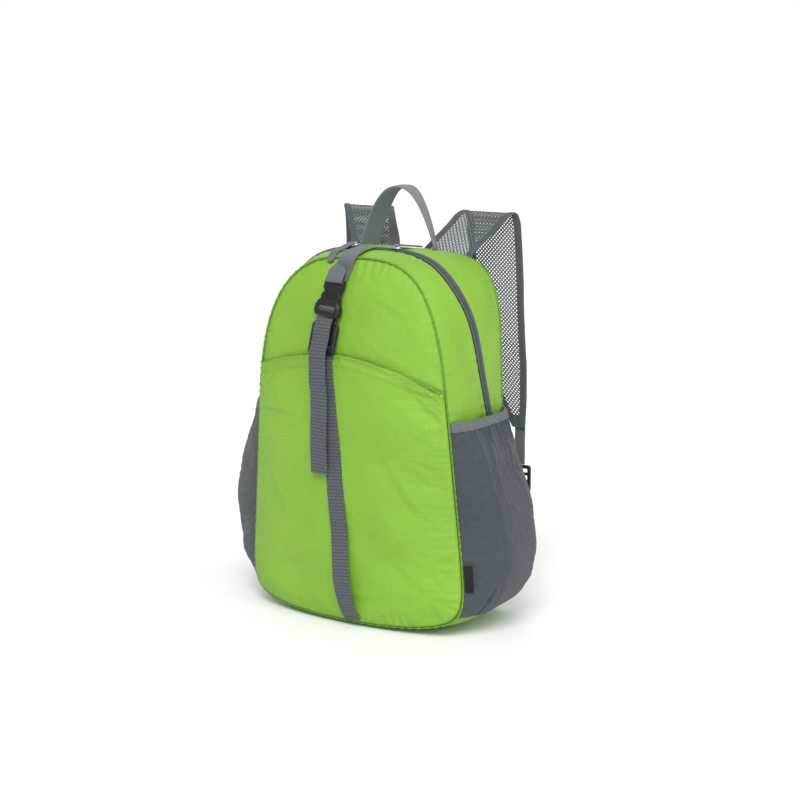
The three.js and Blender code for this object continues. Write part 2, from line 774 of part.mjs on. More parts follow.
// Zip sliders stand on the coil, each with a soft pull sewn to it
function zipSlider(side, word) {
  const share = 0.5 - side * (sliderSpread / frontLine.getLength());
  const depth = zipDepth(share);
  const centre = skin(depth, share, coilRise + seamGap);
  const { outward } = ringAt(depth, share);
  const back = new THREE.Vector3(0, 1, 0);
  const along = new THREE.Vector3().crossVectors(back, outward);
  const frame = new THREE.Matrix4().makeBasis(along, back, outward).setPosition(centre);
  const half = sliderWidth / 2;
  const shape = plateShape([
    { half: half * sliderNose, up: half },
    { half, up: half * sliderShoulder },
    { half: half * sliderTail, up: -half },
  ]);
  const body = moulded(shape, sliderHeight).scale(sliderLength / sliderWidth, 1, 1);
  add("slider_" + word, body.applyMatrix4(frame), steel);
  const lift = pullThickness + webGap;
  const way = side > 0 ? 1 : -1;
  const steps = 6;
  const line = Array.from({ length: steps + 1 }, (_, k) => {
    const along = half + seamGap + (pullLength * k) / steps;
    const at = depth + (way * along) / gussetDepth(share);
    const drift = (-side * pullDrift * k) / steps / frontLine.getLength();
    return skin(at, share + drift, lift + coilRise * (1 - k / steps));
  });
  const width = (k) => (k === steps ? pullWidth * pullTipShare : pullWidth);
  const across = level.clone().multiplyScalar(-way);
  band("pull_" + word, line, () => across, width, pullThickness, webGrey);
}

// The top of the bag's skin over a plan place near the middle
function crown(x, y) {
  let low = 0.3;
  let high = 0.7;
  let depth = 0.5;
  for (let step = 0; step < 24; step++) {
    const middle = (low + high) / 2;
    const { front, back } = seamDepths(middle);
    depth = (y - front) / (back - front);
    if (skin(depth, middle).x > x) low = middle;
    else high = middle;
  }
  return skin(depth, low).z;
}

// The grab handle: a web loop that stands across the top in front of the back seam, its feet turned inwards
function grabHandle() {
  const steps = 22;
  const y = bagDepth * backSeam(1) - handleBack;
  const left = [];
  const right = [];
  for (let k = 0; k <= steps; k++) {
    const across = Math.sin(Math.PI * (k / steps - 0.5));
    const x = (handleSpan / 2) * across;
    const z = THREE.MathUtils.lerp(bagHeight + handleRise, crown(x, y), Math.abs(across) ** handleArchPower);
    const toe = THREE.MathUtils.degToRad(handleToe) * -across;
    const half = new THREE.Vector3(Math.sin(toe), Math.cos(toe), 0).multiplyScalar(handleWidth / 2);
    const atFoot = k === 0 || k === steps;
    for (const [edge, sign] of [[left, -1], [right, 1]]) {
      const point = new THREE.Vector3(x, y, z).addScaledVector(half, sign);
      if (atFoot) point.z = crown(point.x, point.y) + handleGap;
      edge.push(point);
    }
  }
  bandBetween("grab_handle", left, right, handleThickness, webGrey);
}

// A shoulder strap: a net of diamonds between two bound edges that meet in a point, a tab, a lock and a web
function shoulderStrap(side, word) {
  const seat = backSeamY(strapRows[0].height * strapRidgeHeight) + seamGap;
  const centres = strapRows.map(({ out, back, height }) => {
    return new THREE.Vector3((out * bagWidth) / 2, seat + back * strapReach, height * strapRidgeHeight);
  });
  const line = new THREE.CatmullRomCurve3(centres);
  const widths = new THREE.CatmullRomCurve3(strapRows.map((row) => new THREE.Vector3(row.width * netWidth, 0, 0)));
  const sample = (share) => {
    const t = line.getUtoTmapping(share);
    return { centre: line.getPoint(t), half: widths.getPoint(t).x / 2 };
  };
  const place = (share, across, sink = 0) => {
    const { centre } = sample(share);
    const ahead = line.getTangentAt(share);
    const inward = new THREE.Vector3().crossVectors(ahead, level);
    centre.addScaledVector(inward, sink);
    centre.x = side * (centre.x + across);
    return centre;
  };
  const turned = (faces) => (side > 0 ? faces : faces.map(([a, b, c]) => [a, c, b]));
  const inner = (share) => Math.max(pointHalf, sample(share).half - bindingWidth);
  strapNet(word, place, inner, turned);
  strapBinding(word, place, inner, (share) => sample(share).half, turned);
  strapEnd(side, word, place);
}

// Rows of cells, each with a diamond cut through it, up to where the bound edges close on each other
function strapNet(word, place, inner, turned) {
  const points = [];
  const faces = [];
  const sink = (bindingThickness - netThickness) / 2;
  const corner = (row, column) => {
    const share = (netEnd * row) / netRowCount;
    return place(share, (inner(share) - netGap) * ((2 * column) / netColumnCount - 1), sink);
  };
  for (let row = 0; row <= netRowCount; row++) {
    for (let column = 0; column <= netColumnCount; column++) points.push(corner(row, column));
  }
  const wide = netColumnCount + 1;
  for (let row = 0; row < netRowCount; row++) {
    for (let column = 0; column < netColumnCount; column++) {
      const a = row * wide + column;
      const cell = [a, a + 1, a + 1 + wide, a + wide];
      const middle = new THREE.Vector3();
      for (const index of cell) middle.addScaledVector(points[index], 0.25);
      const first = points.length;
      cell.forEach((index, k) => {
        const next = cell[(k + 1) % 4];
        const side = points[index].clone().lerp(points[next], 0.5);
        points.push(side.lerp(middle, netBar / side.distanceTo(middle)));
        faces.push([index, next, first + k], [next, first + ((k + 1) % 4), first + k]);
      });
    }
  }
  add("shoulder_net_" + word, thicken(points, turned(faces), netThickness), netGrey);
}

// The bound edges down both sides of the net, joined by a plate at the strap's point
function strapBinding(word, place, inner, half, turned) {
  const endRows = 5;
  const points = [];
  const faces = [];
  for (let row = 0; row <= netRowCount + endRows; row++) {
    const beyond = Math.max(0, row - netRowCount) / endRows;
    const share = row > netRowCount ? THREE.MathUtils.lerp(netEnd, 1, beyond) : (netEnd * row) / netRowCount;
    points.push(place(share, -half(share)), place(share, -inner(share)));
    points.push(place(share, inner(share)), place(share, half(share)));
    if (!row) continue;
    const a = 4 * (row - 1);
    const columns = row > netRowCount + 1 ? [0, 1, 2] : [0, 2];
    for (const k of columns) faces.push([a + k, a + k + 1, a + k + 5], [a + k, a + k + 5, a + k + 4]);
  }
  add("net_binding_" + word, thicken(points, turned(faces), bindingThickness), bindingGrey);
}

// Below the strap's point: a sewn tab, a plain lock, and the web that runs back to the bag's lower corner
function strapEnd(side, word, place) {
  const tip = place(1, 0);
  const tab = [seamGap, tabLength / 2, tabLength].map((drop) => new THREE.Vector3(tip.x, tip.y, tip.z - drop));
  band("strap_tab_" + word, tab, () => level, () => tabWidth, tabThickness, webGrey);
  const half = lockWidth / 2;
  const corner = 2;
  const lockTop = tip.z - tabLength - seamGap;
  const shape = plateShape([
    { half: half - corner, up: lockLength },
    { half, up: lockLength - corner },
    { half, up: corner },
    { half: half - corner, up: 0 },
  ]);
  const lock = moulded(shape, lockThickness).rotateX(Math.PI / 2);
  lock.translate(tip.x, tip.y + lockThickness / 2, lockTop - lockLength);
  add("ladder_lock_" + word, lock, black);
  const webTop = lockTop - lockLength - seamGap;
  const footX = side * backLine.halfWidth(cornerHeight) * cornerReach;
  const steps = 8;
  const web = Array.from({ length: steps + 1 }, (_, k) => {
    const share = k / steps;
    const z = THREE.MathUtils.lerp(webTop, cornerHeight, share);
    const x = THREE.MathUtils.lerp(tip.x, footX, share);
    const seat = backY(x, z) + seamGap + tabThickness;
    const y = THREE.MathUtils.lerp(tip.y, seat, THREE.MathUtils.smoothstep(share, 0.05, 0.85));
    return new THREE.Vector3(x, y, z);
  });
  band("adjuster_strap_" + word, web, () => level, () => adjusterWeb, tabThickness, webGrey);
}

frontPanel();
backPanel();
slipPocket();
gusset();
zipper();
sidePocket(1, "right");
sidePocket(-1, "left");
labelTab();
buckle();
strapAdjuster();
lowerStrap();
upperStrap();
zipSlider(1, "right");
zipSlider(-1, "left");
grabHandle();
shoulderStrap(1, "right");
shoulderStrap(-1, "left");

// The origin is the middle of the bag's box, on the ground
const boxMiddle = new THREE.Box3().setFromObject(bag).getCenter(new THREE.Vector3());
bag.position.set(-boxMiddle.x, -boxMiddle.y, 0);

export default bag;
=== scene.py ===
"""Dresses the packable backpack: its ripstop shell, pockets, zip, webs, buckles and net straps."""

import logging
import math
from dataclasses import dataclass, field
from enum import Enum
from typing import Callable, Optional, Sequence, Union

import bpy
import numpy as np
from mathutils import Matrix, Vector
from mathutils.geometry import delaunay_2d_cdt


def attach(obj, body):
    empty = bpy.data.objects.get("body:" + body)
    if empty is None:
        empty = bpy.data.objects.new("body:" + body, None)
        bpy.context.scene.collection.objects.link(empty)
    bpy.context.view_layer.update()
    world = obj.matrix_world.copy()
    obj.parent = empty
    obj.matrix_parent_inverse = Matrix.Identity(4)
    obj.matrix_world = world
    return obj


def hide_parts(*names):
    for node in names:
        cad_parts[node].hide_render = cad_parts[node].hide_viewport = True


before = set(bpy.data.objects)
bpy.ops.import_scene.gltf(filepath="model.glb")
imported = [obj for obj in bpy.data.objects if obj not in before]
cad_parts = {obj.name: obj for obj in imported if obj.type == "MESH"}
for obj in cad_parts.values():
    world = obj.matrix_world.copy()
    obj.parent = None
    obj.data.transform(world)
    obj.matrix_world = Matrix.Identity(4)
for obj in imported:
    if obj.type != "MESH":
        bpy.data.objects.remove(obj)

LOG = logging.getLogger("backpack")
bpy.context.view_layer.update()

Points = np.ndarray
Faces = Sequence[Sequence[int]]
Swept = tuple[Points, Faces, Points]
Corner = tuple[float, float, float]
Corners = Sequence[Corner]
Socket = bpy.types.NodeSocket
Value = Union[float, Socket]

# The bag's own coordinates are millimetres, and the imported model's plan is centred on its box
PLAN_SHIFT = np.array([3.4747, 3.3186, 0.0])


class Side(Enum):
    """The two sides of the bag, as its wearer's viewer in front of it sees them."""

    RIGHT = 1
    LEFT = -1

    @property
    def word(self) -> str:
        """The side's word in node names."""
        return self.name.lower()


def to_frame(points: Points) -> Points:
    """Turns millimetres of the bag's own coordinates into metres of the frame."""
    return (np.asarray(points, float) + PLAN_SHIFT) / 1000.0


def unit(vectors: Points) -> Points:
    """Vectors made one long."""
    return vectors / np.maximum(np.linalg.norm(vectors, axis=-1, keepdims=True), 1e-12)


def smoothstep(at: Points, low: float, high: float) -> Points:
    """A smooth rise from 0 at low to 1 at high."""
    share = np.clip((np.asarray(at, float) - low) / (high - low), 0.0, 1.0)
    return share * share * (3.0 - 2.0 * share)


def mix(a: Points, b: Points, share: Points) -> Points:
    """The value that lies a share of the way from a to b."""
    return a + (b - a) * share


class Column:
    """One column of a table as a smooth function of another."""

    def __init__(self, places: Sequence[float], values: Sequence[float]) -> None:
        """Keeps the table.

        Args:
            places: Where each row stands.
            values: What the column says there.
        """
        self.places = np.asarray(places, float)
        self.values = np.asarray(values, float)

    def __call__(self, at: Points) -> Points:
        """Reads the column.

        Args:
            at: Places to read it at; beyond the table's ends its end values hold.

        Returns:
            The values there.
        """
        p, v = self.places, self.values
        at = np.clip(np.asarray(at, float), p[0], p[-1])
        row = np.clip(np.searchsorted(p, at, side="right"), 1, len(p) - 1)
        before, after = np.maximum(row - 2, 0), np.minimum(row + 1, len(p) - 1)
        first, last = row == 1, row == len(p) - 1
        t0, t1 = p[row - 1], p[row]
        t_before = np.where(first, t1, p[before])
        v_before = np.where(first, v[row], v[before])
        t_after = np.where(last, t0, p[after])
        v_after = np.where(last, v[row - 1], v[after])
        w_before = 0.5 * (t1 - t0) / (t0 - t_before)
        w_after = 0.5 * (t1 - t0) / (t_after - t1)
        s = (at - t0) / (t1 - t0)
        s2, s3 = s * s, s * s * s
        return (
            v_before * (-w_before * s3 + 2 * w_before * s2 - w_before * s)
            + v[row - 1] * ((1 + w_before) * s3 + (-1.5 - 2 * w_before) * s2 + (w_before - 0.5) * s + 1)
            + v[row] * ((-1 - w_after) * s3 + (1.5 + w_after) * s2 + 0.5 * s)
            + v_after * (w_after * s3 - w_after * s2)
        )


class SmoothLine:
    """A smooth line through points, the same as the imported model's."""

    def __init__(self, points: Points, count: int = 800) -> None:
        """Fits the line.

        Args:
            points: The points that it passes through.
            count: How finely its length is measured.
        """
        p = np.asarray(points, float)
        self.points = np.vstack([2 * p[0] - p[1], p, 2 * p[-1] - p[-2]])
        self.t = np.linspace(0, 1, count)
        steps = np.linalg.norm(np.diff(self.at(self.t), axis=0), axis=1)
        self.lengths = np.concatenate([[0.0], np.cumsum(steps)])

    def at(self, t: Points) -> Points:
        """Points at values of the line's own parameter.

        Args:
            t: Values from 0 to 1.

        Returns:
            One point for each.
        """
        spans = len(self.points) - 3
        place = np.clip(np.asarray(t, float), 0, 1) * spans
        k = np.minimum(place.astype(int), spans - 1)
        w = (place - k)[..., None]
        q0, q1, q2, q3 = (self.points[k + i] for i in range(4))
        pairs = ((q0, q1), (q1, q2), (q2, q3))
        gap = [np.sum((b - a) ** 2, axis=-1, keepdims=True) ** 0.25 for a, b in pairs]
        d1 = np.where(gap[1] < 1e-4, 1.0, gap[1])
        d0, d2 = (np.where(g < 1e-4, d1, g) for g in (gap[0], gap[2]))
        m1 = ((q1 - q0) / d0 - (q2 - q0) / (d0 + d1) + (q2 - q1) / d1) * d1
        m2 = ((q2 - q1) / d1 - (q3 - q1) / (d1 + d2) + (q3 - q2) / d2) * d1
        return q1 + m1 * w + (3 * (q2 - q1) - 2 * m1 - m2) * w**2 + (2 * (q1 - q2) + m1 + m2) * w**3

    def t_of(self, share: Points) -> Points:
        """The parameter at shares of the line's length."""
        return np.interp(np.asarray(share, float) * self.lengths[-1], self.lengths, self.t)


@dataclass(frozen=True)
class ShellSizes:
    """The bag's driving sizes in millimetres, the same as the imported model's."""

    height: float = 400.0
    width: float = 244.0
    back_width: float = 232.0
    base_spread: float = 41.0
    base_lift: float = 5.0
    widest: float = 232.0
    front_arch_power: float = 3.1
    back_arch_power: float = 5.0
    base_power: float = 14.0
    corner_lift: float = 17.0
    depth: float = 122.0
    front_bulge: float = 18.0
    back_bulge: float = 5.0
    base_bow: float = 18.0
    gusset_puff: float = 7.0
    cloth: float = 1.6
    seam_gap: float = 0.3
    slip_mouth: float = 297.0
    slip_drop_right: float = 32.0
    slip_drop_left: float = 20.0
    slip_gap: float = 1.7
    slip_slack: float = 1.6
    pocket_foot: float = 25.0
    pocket_top: float = 233.0
    zip_end: float = 196.0


SIZES = ShellSizes()


class SeamOutline:
    """The seam line of one face, from the middle of the base round by the bag's right side."""

    def __init__(self, width: float, arch_power: float, arch_taper: float) -> None:
        """Measures the line.

        Args:
            width: The face's width where the arch starts.
            arch_power: How square the arch is.
            arch_taper: How much the face narrows up the arch.
        """
        self.width = width
        self.arch_power = arch_power
        self.arch_taper = arch_taper
        self.arch_height = SIZES.height - SIZES.gusset_puff / 2 - SIZES.widest
        self.t = np.linspace(0, 1, 1201)
        x, z = self.point(self.t)
        self.lengths = np.concatenate([[0.0], np.cumsum(np.hypot(np.diff(x), np.diff(z)))])
        self.length = float(self.lengths[-1])
        shares = np.linspace(0, 0.5, 1500)
        self.climb = (self.at_share(shares)[1], shares)

    def half_width(self, z: Points) -> Points:
        """Half the face's width at heights, before its corners round it off."""
        below = (SIZES.widest - z) / SIZES.widest
        return self.width / 2 + np.where(below > 0, SIZES.base_spread, self.arch_taper) / 2 * below

    def base_line(self, width_share: Points) -> Points:
        """The base line's height, which rises towards the bag's corners."""
        return SIZES.base_lift + SIZES.corner_lift * np.minimum(1.0, width_share) ** 3

    def point(self, t: Points) -> tuple[Points, Points]:
        """Across and height at values of the line's own parameter.

        Args:
            t: Values from 0 to 1.

        Returns:
            The places across and the heights.
        """
        angle = 2 * math.pi * np.asarray(t, float) - math.pi / 2
        c, s = np.cos(angle), np.sin(angle)
        power = np.where(s > 0, self.arch_power, SIZES.base_power)
        reach = (np.abs(c) ** power + np.abs(s) ** power) ** (-1 / power)
        across, rise = reach * c, reach * s
        height = np.where(rise > 0, self.arch_height, SIZES.widest - self.base_line(np.abs(across)))
        z = SIZES.widest + height * rise
        return across * self.half_width(z), z

    def t_of(self, share: Points) -> Points:
        """The parameter at shares of the line's length."""
        return np.interp(np.mod(share, 1.0) * self.length, self.lengths, self.t)

    def at_share(self, share: Points) -> tuple[Points, Points]:
        """Across and height at shares of the line's length."""
        return self.point(self.t_of(share))

    def share_at(self, height: Points) -> Points:
        """The share of its length at which the line reaches heights on the right side."""
        return np.interp(height, *self.climb)

    def edge_share(self, x: Points, z: Points) -> Points:
        """How near places inside are to the line: 0 in the middle, 1 on it."""
        upper = z > SIZES.widest
        power = np.where(upper, self.arch_power, SIZES.base_power)
        across = np.abs(x) / self.half_width(z)
        height = np.where(upper, self.arch_height, SIZES.widest - self.base_line(across))
        share = (across**power + (np.abs(z - SIZES.widest) / height) ** power) ** (1 / power)
        return np.minimum(1.0, share)


@dataclass(frozen=True)
class Fold:
    """A soft long dent or ridge of cloth.

    Place is in shares of half the width and of the height, turn in degrees from level, length and width in
    shares of the bag's width, and depth in millimetres, positive where the cloth falls in.
    """

    across: float
    height: float
    turn: float
    length: float
    width: float
    depth: float

    def at(self, x: Points, z: Points) -> Points:
        """The fold's depth at places of the front."""
        dx = x - self.across * SIZES.width / 2
        dz = z - self.height * SIZES.height
        turn = math.radians(self.turn)
        along = (dx * math.cos(turn) + dz * math.sin(turn)) / (self.length * SIZES.width)
        aside = (dz * math.cos(turn) - dx * math.sin(turn)) / (self.width * SIZES.width)
        return self.depth * np.exp(-aside * aside - along * along)


@dataclass(frozen=True)
class Crumple:
    """Small seeded unevenness of cloth, made of plane waves of nearly one length."""

    seed: int
    wavelength: float
    height: float
    lean: float = 0.0
    spread: float = 180.0
    creased: bool = False

    def at(self, u: Points, v: Points) -> Points:
        """The unevenness at places on the cloth.

        Args:
            u: Places across, in millimetres.
            v: Places along, in millimetres.

        Returns:
            Heights in millimetres.
        """
        random = np.random.default_rng(self.seed)
        total = np.zeros(np.broadcast(u, v).shape)
        waves = 14
        for _ in range(waves):
            turn = math.radians(self.lean + random.uniform(-0.5, 0.5) * self.spread)
            k = 2 * math.pi / (self.wavelength * random.uniform(0.7, 1.4))
            total += np.cos(k * (u * math.cos(turn) + v * math.sin(turn)) + random.uniform(0, 2 * math.pi))
        total *= math.sqrt(2 / waves)
        if self.creased:
            total = 0.8 - 1.6 * np.sqrt(total * total + 0.02)
        return self.height * np.clip(total, -2, 2)


class Shell:
    """The bag's shape: its seam lines, faces and the skin between them, in millimetres."""

    def __init__(self) -> None:
        """Lays out the seams and the tables that place them."""
        self.front = SeamOutline(SIZES.width, SIZES.front_arch_power, SIZES.base_spread)
        self.back = SeamOutline(SIZES.back_width, SIZES.back_arch_power, 0.0)
        rows = (0, 0.25, 0.5, 0.7, 0.88, 1)
        self.front_depth = Column(rows, (0.52, 0.54, 0.575, 0.6, 0.57, 0.5))
        self.back_depth = Column(rows, (0.53, 0.47, 0.4, 0.36, 0.34, 0.32))
        self.zip_share = Column((0.45, 0.57, 0.7, 0.82, 0.92, 1), (0.78, 0.66, 0.55, 0.47, 0.36, 0.35))
        bulge = SIZES.front_bulge
        self.folds = (
            Fold(-0.55, 0.66, -18, 0.3, 0.075, 0.13 * bulge),
            Fold(0.5, 0.5, 24, 0.34, 0.085, 0.15 * bulge),
            Fold(-0.5, 0.36, 38, 0.36, 0.09, 0.16 * bulge),
            Fold(0.55, 0.2, -30, 0.34, 0.09, 0.16 * bulge),
            Fold(-0.62, 0.13, -42, 0.26, 0.08, 0.14 * bulge),
            Fold(0.1, 0.83, 8, 0.3, 0.07, 0.1 * bulge),
        )

    def front_seam_y(self, x: Points, z: Points) -> Points:
        """Where the front seam runs in depth, bowed forward at the foot."""
        bow = SIZES.base_bow * (1 - z / SIZES.height) ** 2
        bow = bow * np.maximum(0, 1 - (x / self.front.half_width(z)) ** 2)
        return -SIZES.depth * self.front_depth(z / SIZES.height) - bow

    def back_seam_y(self, z: Points) -> Points:
        """Where the back seam runs in depth."""
        return SIZES.depth * self.back_depth(z / SIZES.height)

    def front_y(self, x: Points, z: Points) -> Points:
        """The face of the front panel."""
        full = 1 - self.front.edge_share(x, z) ** 2.4
        folds = sum(fold.at(x, z) for fold in self.folds) * full
        return self.front_seam_y(x, z) - SIZES.front_bulge * full + folds

    def back_y(self, x: Points, z: Points) -> Points:
        """The face of the back panel."""
        return self.back_seam_y(z) + SIZES.back_bulge * (1 - self.back.edge_share(x, z) ** 2)

    def slip_y(self, x: Points, z: Points) -> Points:
        """The face of the slip pocket, in front of the front panel."""
        slack = SIZES.slip_slack * (1 - self.front.edge_share(x, z) ** 2)
        return self.front_y(x, z) - SIZES.cloth - SIZES.slip_gap - slack

    def cover_y(self, x: Points, z: Points) -> Points:
        """The outermost cloth of the front: the slip pocket, and the front panel above its mouth."""
        above = smoothstep(z, SIZES.slip_mouth, SIZES.slip_mouth + 21)
        return mix(self.slip_y(x, z), self.front_y(x, z), above)

    def seam_depths(self, share: Points) -> tuple[Points, Points, Points]:
        """Depths of the front and back seams, and the front seam's height, at shares of the line."""
        t = self.front.t_of(share)
        x, z = self.front.point(t)
        back_z = self.back.point(t)[1]
        return self.front_seam_y(x, z), self.back_seam_y(back_z), z

    def gusset_depth(self, share: Points) -> Points:
        """How deep the skin between the two seams is."""
        front, back, _ = self.seam_depths(share)
        return back - front

    def outward(self, depth: Points, share: Points) -> Points:
        """The way out of the bag, square to the skin's line at one depth."""
        t = self.front.t_of(share)
        near, far = np.maximum(t - 1e-4, 0), np.minimum(t + 1e-4, 1)
        ways = []
        for line in (self.front, self.back):
            x0, z0 = line.point(near)
            x1, z1 = line.point(far)
            ways.append(unit(np.stack([x1 - x0, z1 - z0], axis=-1)))
        ahead = unit(mix(ways[0], ways[1], np.asarray(depth)[..., None]))
        return np.stack([ahead[..., 1], np.zeros_like(ahead[..., 0]), -ahead[..., 0]], axis=-1)

    def skin(self, depth: Points, share: Points, lift: Points = 0.0) -> Points:
        """The bag's skin between the seams.

        Args:
            depth: Shares of the way from the front seam to the back seam.
            share: Shares of the seam line's length.
            lift: How far off the skin.

        Returns:
            Points; the base is pressed flat on the ground.
        """
        depth, share, lift = np.broadcast_arrays(np.asarray(depth, float), np.asarray(share, float), lift)
        t = self.front.t_of(share)
        x, z = (mix(a, b, depth) for a, b in zip(self.front.point(t), self.back.point(t)))
        front, back, _ = self.seam_depths(share)
        puff = SIZES.gusset_puff * (1 - np.abs(2 * depth - 1) ** 3)
        points = np.stack([x, np.zeros_like(x), z], axis=-1)
        points = points + self.outward(depth, share) * (puff + lift)[..., None]
        points[..., 1] = mix(front, back, depth)
        points[..., 2] = np.maximum(points[..., 2], 0.0)
        return points

    def zip_depth(self, share: Points) -> Points:
        """Where the zip runs, as a share of the skin's depth."""
        return self.zip_share(self.seam_depths(share)[2] / SIZES.height)

    def mouth_height(self, x: Points) -> Points:
        """The slip pocket's mouth line: highest in the middle, lower at both seams."""
        drop = np.where(np.asarray(x) > 0, SIZES.slip_drop_right, SIZES.slip_drop_left)
        reach = np.minimum(1, np.abs(x) / self.front.half_width(np.array(SIZES.slip_mouth)))
        return SIZES.slip_mouth - drop * reach**1.8


SHELL = Shell()


class NodeWriter:
    """Adds nodes to one tree and joins them; an input is a socket or a plain value."""

    def __init__(self, tree: bpy.types.NodeTree) -> None:
        """Keeps the tree to write in."""
        self.tree = tree

    def put(self, socket: Socket, value: object) -> None:
        """Joins a socket to another, or sets its value."""
        if isinstance(value, bpy.types.NodeSocket):
            self.tree.links.new(value, socket)
        else:
            socket.default_value = value

    def node(self, kind: str, inputs: Optional[dict] = None, **settings: object) -> bpy.types.Node:
        """Adds one node.

        Args:
            kind: Its type name without the ShaderNode prefix.
            inputs: Values or sockets by input name or number.
            settings: Its own properties.

        Returns:
            The node.
        """
        made = self.tree.nodes.new("ShaderNode" + kind)
        for name, value in settings.items():
            setattr(made, name, value)
        for name, value in (inputs or {}).items():
            self.put(made.inputs[name], value)
        return made

    def math(self, operation: str, a: Value, b: Value = 0.0, clamp: bool = False) -> Socket:
        """One step of arithmetic."""
        return self.node("Math", {0: a, 1: b}, operation=operation, use_clamp=clamp).outputs[0]

    def ramp(self, value: Socket, low: float, high: float, first: Value = 0.0, last: Value = 1.0) -> Socket:
        """A smooth change from first to last as the value goes from low to high."""
        inputs = {"Value": value, "From Min": low, "From Max": high, "To Min": first, "To Max": last}
        return self.node("MapRange", inputs, interpolation_type="SMOOTHSTEP").outputs["Result"]

    def blend(self, share: Value, a: object, b: object, how: str = "MIX") -> Socket:
        """One colour over another."""
        made = self.node("Mix", data_type="RGBA", blend_type=how)
        for index, value in ((0, share), (6, a), (7, b)):
            self.put(made.inputs[index], value)
        return made.outputs[2]

    def noise(self, place: Socket, scale: Value, detail: float = 3.0) -> Socket:
        """Plain noise from 0 to 1."""
        return self.node("TexNoise", {"Vector": place, "Scale": scale, "Detail": detail}).outputs["Fac"]

    def cut_place(self) -> tuple[Socket, Socket]:
        """The cloth's flat coordinates in metres, across and along, as each piece stores them."""
        place = self.node("Attribute", attribute_name="cut").outputs["Vector"]
        parts = self.node("SeparateXYZ", {0: place})
        return parts.outputs[0], parts.outputs[1]


class GroupMaker:
    """Starts a shader group with named inputs and outputs."""

    def __init__(self, name: str, inputs: dict[str, float], outputs: Sequence[str]) -> None:
        """Makes the group.

        Args:
            name: Its name.
            inputs: Its inputs, each with its usual value.
            outputs: Its outputs, each a value.
        """
        self.tree = bpy.data.node_groups.new(name, "ShaderNodeTree")
        for key, usual in inputs.items():
            socket = self.tree.interface.new_socket(key, in_out="INPUT", socket_type="NodeSocketFloat")
            socket.default_value = usual
        for key in outputs:
            self.tree.interface.new_socket(key, in_out="OUTPUT", socket_type="NodeSocketFloat")
        self.write = NodeWriter(self.tree)
        self.inputs = self.tree.nodes.new("NodeGroupInput").outputs
        self.result = self.tree.nodes.new("NodeGroupOutput").inputs

    def finish(self, **results: Socket) -> bpy.types.NodeTree:
        """Joins the outputs.

        Args:
            results: A socket for each output, by name.

        Returns:
            The group.
        """
        for name, socket in results.items():
            self.write.put(self.result[name], socket)
        return self.tree


def ripstop_group() -> bpy.types.NodeTree:
    """Builds the ripstop grid.

    Returns:
        A group whose Lines are 1 on the thicker threads, and whose Height is the weave's relief.
    """
    group = GroupMaker("ripstop_grid", {"Pitch": 0.0045, "Line": 0.1, "Weave": 0.0007}, ("Lines", "Height"))
    write = group.write
    lines, threads = [], []
    for place in write.cut_place():
        cell = write.math("FRACT", write.math("DIVIDE", place, group.inputs["Pitch"]))
        off = write.math("ABSOLUTE", write.math("SUBTRACT", cell, 0.5))
        edge = write.math("SUBTRACT", 0.5, group.inputs["Line"])
        over = write.math("DIVIDE", write.math("SUBTRACT", off, edge), group.inputs["Line"], clamp=True)
        lines.append(over)
        turn = write.math("MULTIPLY", write.math("DIVIDE", place, group.inputs["Weave"]), 2 * math.pi)
        threads.append(write.math("SINE", turn))
    grid = write.math("MAXIMUM", lines[0], lines[1])
    weave = write.math("MULTIPLY", write.math("MULTIPLY", threads[0], threads[1]), 0.22)
    return group.finish(Lines=grid, Height=write.math("ADD", grid, weave))


def webbing_group() -> bpy.types.NodeTree:
    """Builds a woven tape's relief.

    Returns:
        A group whose Height is a brick-laid weave of small pillows, and whose Gaps are 1 between them, where
        most finishes paint shade into the weave.
    """
    group = GroupMaker("woven_tape", {"Across": 0.0017, "Along": 0.0023}, ("Height", "Gaps"))
    write = group.write
    across, along = write.cut_place()
    row = write.math("DIVIDE", along, group.inputs["Along"])
    odd = write.math("MULTIPLY", write.math("MODULO", write.math("FLOOR", row), 2.0), 0.5)
    column = write.math("ADD", write.math("DIVIDE", across, group.inputs["Across"]), odd)
    pillow = []
    for place in (column, row):
        off = write.math("SUBTRACT", write.math("MULTIPLY", write.math("FRACT", place), 2.0), 1.0)
        pillow.append(write.math("SUBTRACT", 1.0, write.math("MULTIPLY", off, off)))
    height = write.math("POWER", write.math("MULTIPLY", pillow[0], pillow[1]), 0.5)
    return group.finish(Height=height, Gaps=write.ramp(height, 0.75, 0.1))


def knit_group() -> bpy.types.NodeTree:
    """Builds a fine stretch knit's relief.

    Returns:
        A group whose Height has fine ribs along the cloth, and whose Gaps are 1 between the ribs, where the
        finishes paint shade into the knit.
    """
    group = GroupMaker("stretch_knit", {"Rib": 0.0013, "Course": 0.0009}, ("Height", "Gaps"))
    write = group.write
    across, along = write.cut_place()
    rib = write.math("DIVIDE", across, group.inputs["Rib"])
    ribs = write.math("SINE", write.math("MULTIPLY", rib, 2 * math.pi))
    course = write.math("DIVIDE", along, group.inputs["Course"])
    slant = write.math("ADD", course, write.math("MULTIPLY", ribs, 0.3))
    loops = write.math("SINE", write.math("MULTIPLY", slant, 2 * math.pi))
    height = write.math("ADD", write.math("MULTIPLY", ribs, 0.6), write.math("MULTIPLY", loops, 0.4))
    return group.finish(Height=height, Gaps=write.ramp(height, 0.2, -0.9))


